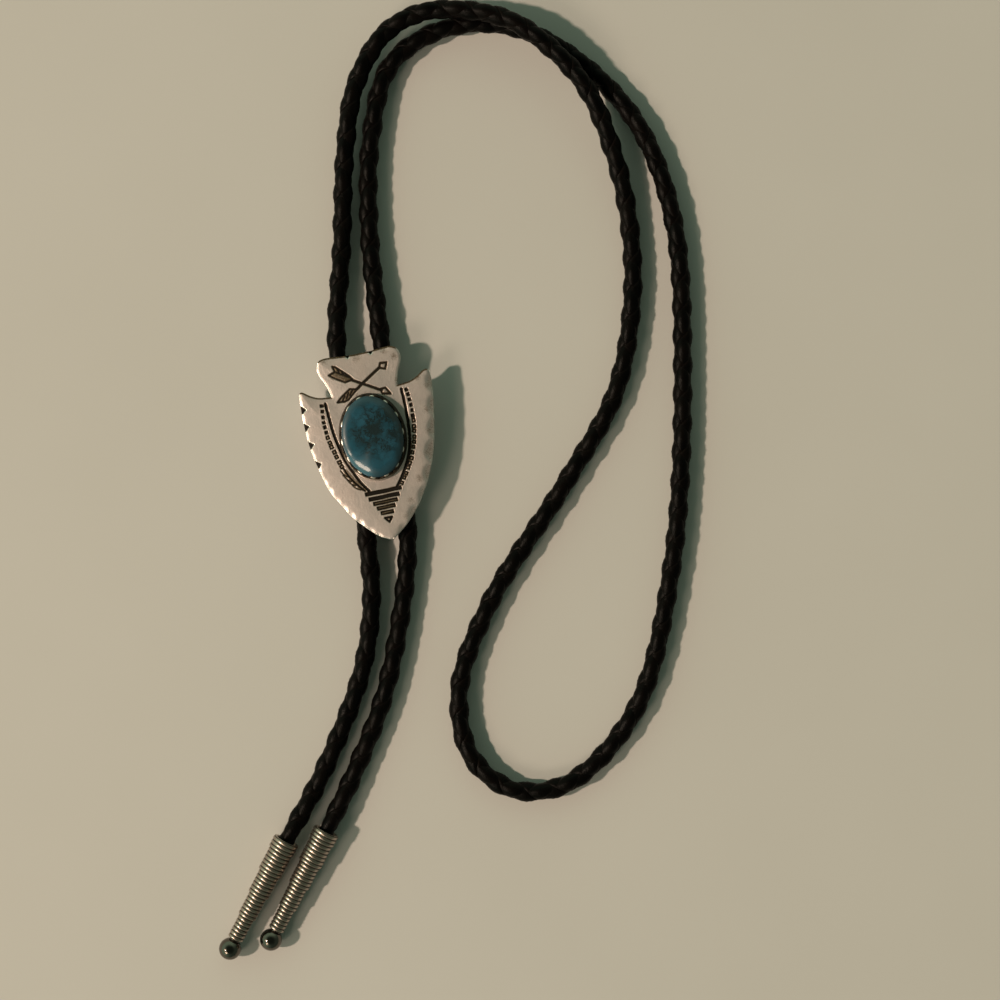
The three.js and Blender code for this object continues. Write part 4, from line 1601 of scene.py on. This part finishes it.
    def _kept_cells(self, inward: Array) -> Array:
        """Grid cells that lie whole inside the rounded edge, in one piece with no pinched corners."""
        inside = inward > self.edge_round + 0.35 * self.pitch
        cells = inside[:-1, :-1] & inside[1:, :-1] & inside[:-1, 1:] & inside[1:, 1:]
        middle = tuple(size // 2 for size in cells.shape)
        reached = np.zeros_like(cells)
        reached[middle] = True
        while True:
            grown = reached.copy()
            grown[1:] |= reached[:-1]
            grown[:-1] |= reached[1:]
            grown[:, 1:] |= reached[:, :-1]
            grown[:, :-1] |= reached[:, 1:]
            grown &= cells
            if (grown == reached).all():
                break
            reached = grown
        while True:
            a, b, c, d = reached[:-1, :-1], reached[1:, 1:], reached[1:, :-1], reached[:-1, 1:]
            pinched = (a & b & ~c & ~d) | (c & d & ~a & ~b)
            if not pinched.any():
                return reached
            a &= ~pinched
            c &= ~pinched

    def plate(self, ornament: Ornament) -> bpy.types.Mesh:
        """Builds the plate as one closed mesh with its values for patina with painted shade, and for wear.

        Args:
            ornament: The struck marks.

        Returns:
            The mesh.
        """
        outline = self.outline()
        xs = np.arange(-self.half_width - self.pitch, self.half_width + 2 * self.pitch, self.pitch)
        ys = np.arange(-self.half_height - self.pitch, self.half_height + 2 * self.pitch, self.pitch)
        x, y = np.meshgrid(xs, ys, indexing="ij")
        near_x, near_y, distance = nearest_on(x, y, outline)
        inward = np.where(inside_outline(x, y, outline), distance, -distance)
        cells = self._kept_cells(inward)
        upward = (near_y - y) / np.maximum(distance, 0.01)
        level, patina_and_shade, wear_and_painted_light = self.height(x, y, np.maximum(inward, 0), upward, ornament)
        number = np.full(x.shape, -1)
        i, j = np.nonzero(cells)
        used = np.zeros(x.shape, dtype=bool)
        for di, dj in ((0, 0), (1, 0), (1, 1), (0, 1)):
            used[i + di, j + dj] = True
        number[used] = np.arange(used.sum())
        quads = np.stack([number[i, j], number[i + 1, j], number[i + 1, j + 1], number[i, j + 1]], axis=1)
        points = np.stack([x[used], y[used], level[used]], axis=1)
        loop = self._rim(quads)
        at, near = points[loop], np.stack([near_x[used], near_y[used]], axis=1)[loop]
        inner = at[:, :2] - near
        inner /= np.hypot(*inner.T)[:, None]
        r = self.edge_round
        rings = [(r, 0.0), (0.35 * r, -0.3 * r), (0.0, -r)]
        rows = [(inset, at[:, 2] + drop) for inset, drop in rings]
        rows += [(0.0, np.full(len(loop), self.bottom + r)), (r, np.full(len(loop), self.bottom))]
        wall = [np.column_stack([near + inner * inset, height]) for inset, height in rows]
        count, first = len(loop), len(points)
        faces = [tuple(quad) for quad in quads]
        for k in range(count):
            n = (k + 1) % count
            faces.append((loop[n], loop[k], first + k, first + n))
        faces += [face[::-1] for face in ring_faces(len(wall), count, first)]
        faces.append(tuple(range(first + (len(wall) - 1) * count, first + len(wall) * count)))
        mesh = mesh_from("slide_plate", np.vstack([points, *wall]), faces)
        edge = np.concatenate([np.full(count, value) for value in (0.7, 0.6, 0.3, 0.1, 0.0)])
        carry(mesh, "patina_and_shade", np.concatenate([patina_and_shade[used], *[patina_and_shade[used][loop]] * 3, np.zeros(2 * count)]))
        carry(mesh, "wear_and_painted_light", np.concatenate([wear_and_painted_light[used], edge]))
        face_out(mesh)
        return mesh

    @staticmethod
    def _rim(quads: Array) -> list[int]:
        """The points round the border of a sheet of quads, in order."""
        sides = {(a, b) for quad in quads.tolist() for a, b in zip(quad, quad[1:] + quad[:1])}
        follow = {a: b for a, b in sides if (b, a) not in sides}
        start = next(iter(follow))
        loop, at = [start], follow[start]
        while at != start:
            loop.append(at)
            at = follow[at]
        return loop

    def bezel_outline(self) -> Outline:
        """The bezel's section, from the foot outside, over the toothed rim, to the foot inside."""
        outline = Outline()
        wall, rim = self.bezel_wall, self.bezel_height
        for radius, height, toothed in (
            (wall + 0.24, 0.1, 0.0),
            (wall + 0.14, 0.26, 0.0),
            (wall + 0.06, 0.55, 0.0),
            (wall + 0.03, 1.0, 0.05),
            (wall + 0.03, 1.35, 0.25),
            (wall, rim - 0.3, 0.7),
            (wall - 0.08, rim - 0.08, 0.95),
            (wall / 2, rim, 1.0),
            (0.06, rim - 0.1, 1.0),
            (0.0, rim - 0.35, 0.6),
            (0.0, 1.0, 0.0),
            (0.0, 0.0, 0.0),
            (wall + 0.24, 0.0, 0.0),
            (wall + 0.24, 0.1, 0.0),
        ):
            outline.add(radius, height, toothed=toothed)
        return outline

    def stud_outline(self) -> Outline:
        """The riveted stud's outline, from its head to the plate."""
        head = self.stud_head_bottom
        outline = Outline()
        for radius, height in (
            (0.0, head),
            (1.0, head + 0.02),
            (1.5, head + 0.12),
            (1.76, head + 0.34),
            (1.72, head + 0.6),
            (1.5, head + 0.7),
            (1.05, head + 0.7),
            (1.0, head + 0.8),
            (1.0, self.bottom + 0.4),
            (0.0, self.bottom + 0.4),
        ):
            outline.add(radius, height)
        return outline

    def build(self, lathe: Lathe, silver: SatinSilver) -> list[bpy.types.Object]:
        """Builds plate, bezel and stud.

        Args:
            lathe: The lathe.
            silver: Their finish.

        Returns:
            The three pieces.
        """
        material = silver.material()
        plate = self.plate(Ornament())
        shade(plate, material)
        bezel = lathe.spin(
            "slide_bezel",
            self.bezel_outline(),
            material,
            turns=self.teeth * 16,
            teeth=self.teeth,
            half_width=self.inner[0],
            half_height=self.inner[1],
            tooth_height=self.tooth_height,
            tooth_lean=self.tooth_lean,
        )
        bezel.data.transform(move_mm(*self.stone_middle, self.top))
        self._dress_bezel(bezel.data)
        stud = lathe.spin("slide_stud", self.stud_outline(), material, turns=32)
        pieces = [add_object("slide_plate", plate), bezel, stud]
        for piece in pieces:
            seat(piece, "arrowhead_slide")
        return pieces

    def _dress_bezel(self, mesh: bpy.types.Mesh) -> None:
        """Gives the bezel bright worn tooth tips, a wall dark with painted shade, and painted light on its
        lower left side.
        """
        count = len(mesh.vertices)
        tooth = np.zeros(count, dtype=np.float32)
        mesh.attributes["tooth"].data.foreach_get("value", tooth)
        place = np.zeros(count * 3)
        mesh.vertices.foreach_get("co", place)
        across = place[0::3] / MM - self.stone_middle[0]
        along = place[1::3] / MM - self.stone_middle[1]
        rise = place[2::3] / MM - self.top
        tip = smooth_step(tooth, 0.84, 0.97)
        # Painted light: the lower left of the wall, which faces the light, is made brighter and less dark.
        lit = np.cos(np.arctan2(along, across) - math.radians(self.lit_side))
        lit = smooth_step(lit, 0.55, 0.95) * smooth_step(rise, 1.7, 1.3)
        # Tooth tips stay bright and worn; the rest of the wall gets painted shade, lightened by painted
        # light on its lower left.
        carry(mesh, "wear_and_painted_light", np.maximum(tip, 0.4 * lit))
        carry(mesh, "patina_and_shade", 0.88 * (1 - tip) * (1 - 0.8 * lit))


def move_mm(x: float, y: float, z: float) -> Matrix:
    """A move by millimetres, as a matrix."""
    return Matrix.Translation(Vector((x, y, z)) * MM)


@dataclass
class Stone:
    """The oval cabochon."""

    rings: int = 30
    count: int = 120
    fullness: float = 0.22
    wall: float = 1.25
    bow: float = 2.9
    steep_bow: float = 7.0
    steep_side: float = 155.0
    soft_bow: float = 1.9
    soft_side: float = 226.0
    seed: float = 3.0

    def _dome(self, share: float, turn: float, foot: float, rise: float) -> float:
        """Height of the dome, which is flat on top and steepest on its left shoulder."""
        steep = max(0.0, math.cos(turn - math.radians(self.steep_side))) ** 3
        soft = max(0.0, math.cos(turn - math.radians(self.soft_side))) ** 8
        bow = self.bow + (self.steep_bow - self.bow) * steep
        bow += (self.soft_bow - bow) * soft
        return foot + rise * (1 - share**bow) ** (1 / bow)

    def _rim(self, mesh: bpy.types.Mesh, middle: Array, half: Array) -> Array:
        """Where the bezel has rubbed the stone's shoulder dull and where painted shade darkens it: all round
        but for its polished side.
        """
        place = np.zeros(len(mesh.vertices) * 3)
        mesh.vertices.foreach_get("co", place)
        across = (place[0::3] / MM - middle[0]) / half[0]
        along = (place[1::3] / MM - middle[1]) / half[1]
        polished = np.cos(np.arctan2(along, across) - math.radians(self.soft_side))
        return smooth_step(np.hypot(across, along), 0.72, 0.93) * smooth_step(polished, 0.93, 0.8)

    def build(self, turquoise: Turquoise) -> bpy.types.Object:
        """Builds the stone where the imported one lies.

        Args:
            turquoise: Its finish.

        Returns:
            The finished piece.
        """
        low, high = box_mm("turquoise_stone")
        middle, half = (low + high) / 2, (high - low) / 2 + self.fullness
        points = []
        levels = [(0.94, low[2]), (1.0, low[2] + 0.12), (1.0, low[2] + self.wall * 0.6)]
        rise = high[2] - low[2] - self.wall
        levels += [(math.cos(i / self.rings * math.pi / 2) ** 0.6, None) for i in range(self.rings)]
        for share, level in levels:
            for k in range(self.count):
                turn = k / self.count * 2 * math.pi
                wobble = 1 + 0.006 * math.sin(3 * turn + self.seed) * share
                height = self._dome(share, turn, low[2] + self.wall, rise) if level is None else level
                points.append(
                    (
                        middle[0] + half[0] * share * wobble * math.cos(turn),
                        middle[1] + half[1] * share * wobble * math.sin(turn),
                        height,
                    )
                )
        faces = ring_faces(len(levels), self.count)
        bottom, top = len(points), len(points) + 1
        points += [(middle[0], middle[1], low[2]), (middle[0], middle[1], high[2])]
        last = (len(levels) - 1) * self.count
        for k in range(self.count):
            n = (k + 1) % self.count
            faces.append((n, k, bottom))
            faces.append((last + k, last + n, top))
        mesh = mesh_from("stone_cabochon", points, faces)
        face_out(mesh)
        carry(mesh, "rim", self._rim(mesh, middle, half))
        shade(mesh, turquoise.material())
        stone = add_object("stone_cabochon", mesh)
        seat(stone, "turquoise_stone")
        return stone


# Studio


@dataclass
class Studio:
    """The camera, the lights and the table."""

    look_at: tuple[float, float] = (0.0282, -0.0192)
    image_up: tuple[float, float] = (0.186, 0.983)
    view_width: float = 0.2523
    camera_height: float = 0.62
    sensor: float = 36.0
    shadow_turn: float = 9.0
    key_elevation: float = 43.0
    key_distance: float = 4.0
    key_size: float = 0.24
    key_power: float = 122.0
    key_colour: Colour = (1.0, 0.78, 0.605)
    glint_turn: float = 46.0
    glint_elevation: float = 38.0
    glint_distance: float = 3.0
    glint_size: float = 0.9
    glint_power: float = 18.0
    sky: Colour = (0.74, 1.0, 0.72)
    sky_bright: float = 0.46
    sky_dark: float = 0.05
    sky_ends: tuple = (0.45, 0.9)
    sky_from_top: float = 0.55
    sky_from_left: float = 0.85
    sky_turn: tuple = (-0.75, 0.45)
    sky_share: tuple = (0.2, 1.6)
    table_half: float = 1.2

    def _axes(self) -> tuple[Vector, Vector]:
        """The directions that point right and up in the picture."""
        up = Vector((*self.image_up, 0)).normalized()
        return Vector((up.y, -up.x, 0)), up

    def camera(self) -> None:
        """Looks straight down, turned as the photograph is."""
        right, up = self._axes()
        data = bpy.data.cameras.new("camera")
        data.sensor_width = self.sensor
        data.lens = self.sensor * self.camera_height / self.view_width
        data.clip_start = 0.01
        camera = bpy.data.objects.new("camera", data)
        bpy.context.scene.collection.objects.link(camera)
        camera.location = (*self.look_at, self.camera_height)
        camera.rotation_euler = (0, 0, math.atan2(right.y, right.x))
        bpy.context.scene.camera = camera

    def _round_light(
        self, name: str, towards: Vector, distance: float, size: float, power: float, tint: Colour
    ) -> None:
        """Adds a round soft light that faces the middle of the view."""
        data = bpy.data.lights.new(name, "AREA")
        data.shape = "DISK"
        data.size = size
        data.energy = power
        data.color = tint
        light = bpy.data.objects.new(name, data)
        bpy.context.scene.collection.objects.link(light)
        aim = Vector((*self.look_at, 0))
        light.location = aim + towards.normalized() * distance
        light.rotation_euler = (-towards).to_track_quat("-Z", "Y").to_euler()

    def _towards(self, turn: float, elevation: float) -> Vector:
        """The way to a light that stands at the picture's left, turned down by an angle, in degrees."""
        right, up = self._axes()
        flat, rise = math.radians(turn), math.radians(elevation)
        level = -(right * math.cos(flat) + up * math.sin(flat))
        return level * math.cos(rise) + Vector((0, 0, math.sin(rise)))

    def lights(self) -> None:
        """A warm soft key from the left and a small weak one from the lower left, which adds glints."""
        key = self._towards(self.shadow_turn, self.key_elevation)
        self._round_light("key", key, self.key_distance, self.key_size, self.key_power, self.key_colour)
        glint = self._towards(self.glint_turn, self.glint_elevation)
        far, size, power = self.glint_distance, self.glint_size, self.glint_power
        self._round_light("glint", glint, far, size, power, self.key_colour)
        self._sky()
        bpy.context.scene.view_settings.view_transform = "Standard"

    def _sky(self) -> None:
        """Fills the shadows from all sides, and leaves it dark overhead."""
        world = bpy.data.worlds.new("studio")
        world.use_nodes = True
        graph = Graph(world.node_tree)
        graph.tree.nodes.clear()
        way = graph.wire("ShaderNodeTexCoord", output="Generated")
        height = Wire(graph, graph.node("ShaderNodeSeparateXYZ", None, {0: way}).outputs["Z"])
        right, up = self._axes()
        dot = {"operation": "DOT_PRODUCT"}
        brightest = up * self.sky_from_top - right * self.sky_from_left
        side = graph.wire("ShaderNodeVectorMath", dot, {0: way, 1: brightest}, "Value")
        low = 1 - height.step(*self.sky_ends)
        turned = side.step(*self.sky_turn).between(*self.sky_share)
        strength = low * turned * self.sky_bright + self.sky_dark
        tint = (*self.sky, 1.0)
        light = graph.wire("ShaderNodeBackground", None, {"Color": tint, "Strength": strength})
        graph.node("ShaderNodeOutputWorld", None, {"Surface": light})
        bpy.context.scene.world = world

    def table(self, board: PaleBoard) -> None:
        """The floor under everything."""
        half = self.table_half / MM
        x, y = (value / MM for value in self.look_at)
        signs = ((-1, -1), (1, -1), (1, 1), (-1, 1))
        corners = [(x + side * half, y + end * half, 0.0) for side, end in signs]
        mesh = mesh_from("table", corners, [(0, 1, 2, 3)])
        shade(mesh, board.material(), smooth=False)
        add_object("table", mesh)


def dress_clip(nickel: NickelSheet) -> None:
    """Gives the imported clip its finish: it is a plain bent sheet, hidden under the slide."""
    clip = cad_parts["cord_clip"]
    clip.data.materials.clear()
    clip.data.materials.append(nickel.material())
    log.info("cord_clip: keeps its packed shape")


def main() -> None:
    """Builds every piece, the camera and the cord first."""
    logging.basicConfig(level=logging.INFO, format="%(message)s")
    studio = Studio()
    studio.camera()
    cord = BraidedCord()
    braid = cord.build(BraidedLeather())
    lathe = Lathe()
    tips = RibbedTip().build(lathe, cord, PolishedPlate())
    cord.declare(braid)
    ArrowheadSlide().build(lathe, SatinSilver())
    Stone().build(Turquoise())
    dress_clip(NickelSheet())
    studio.table(PaleBoard())
    studio.lights()


if __name__ == "__main__":
    main()
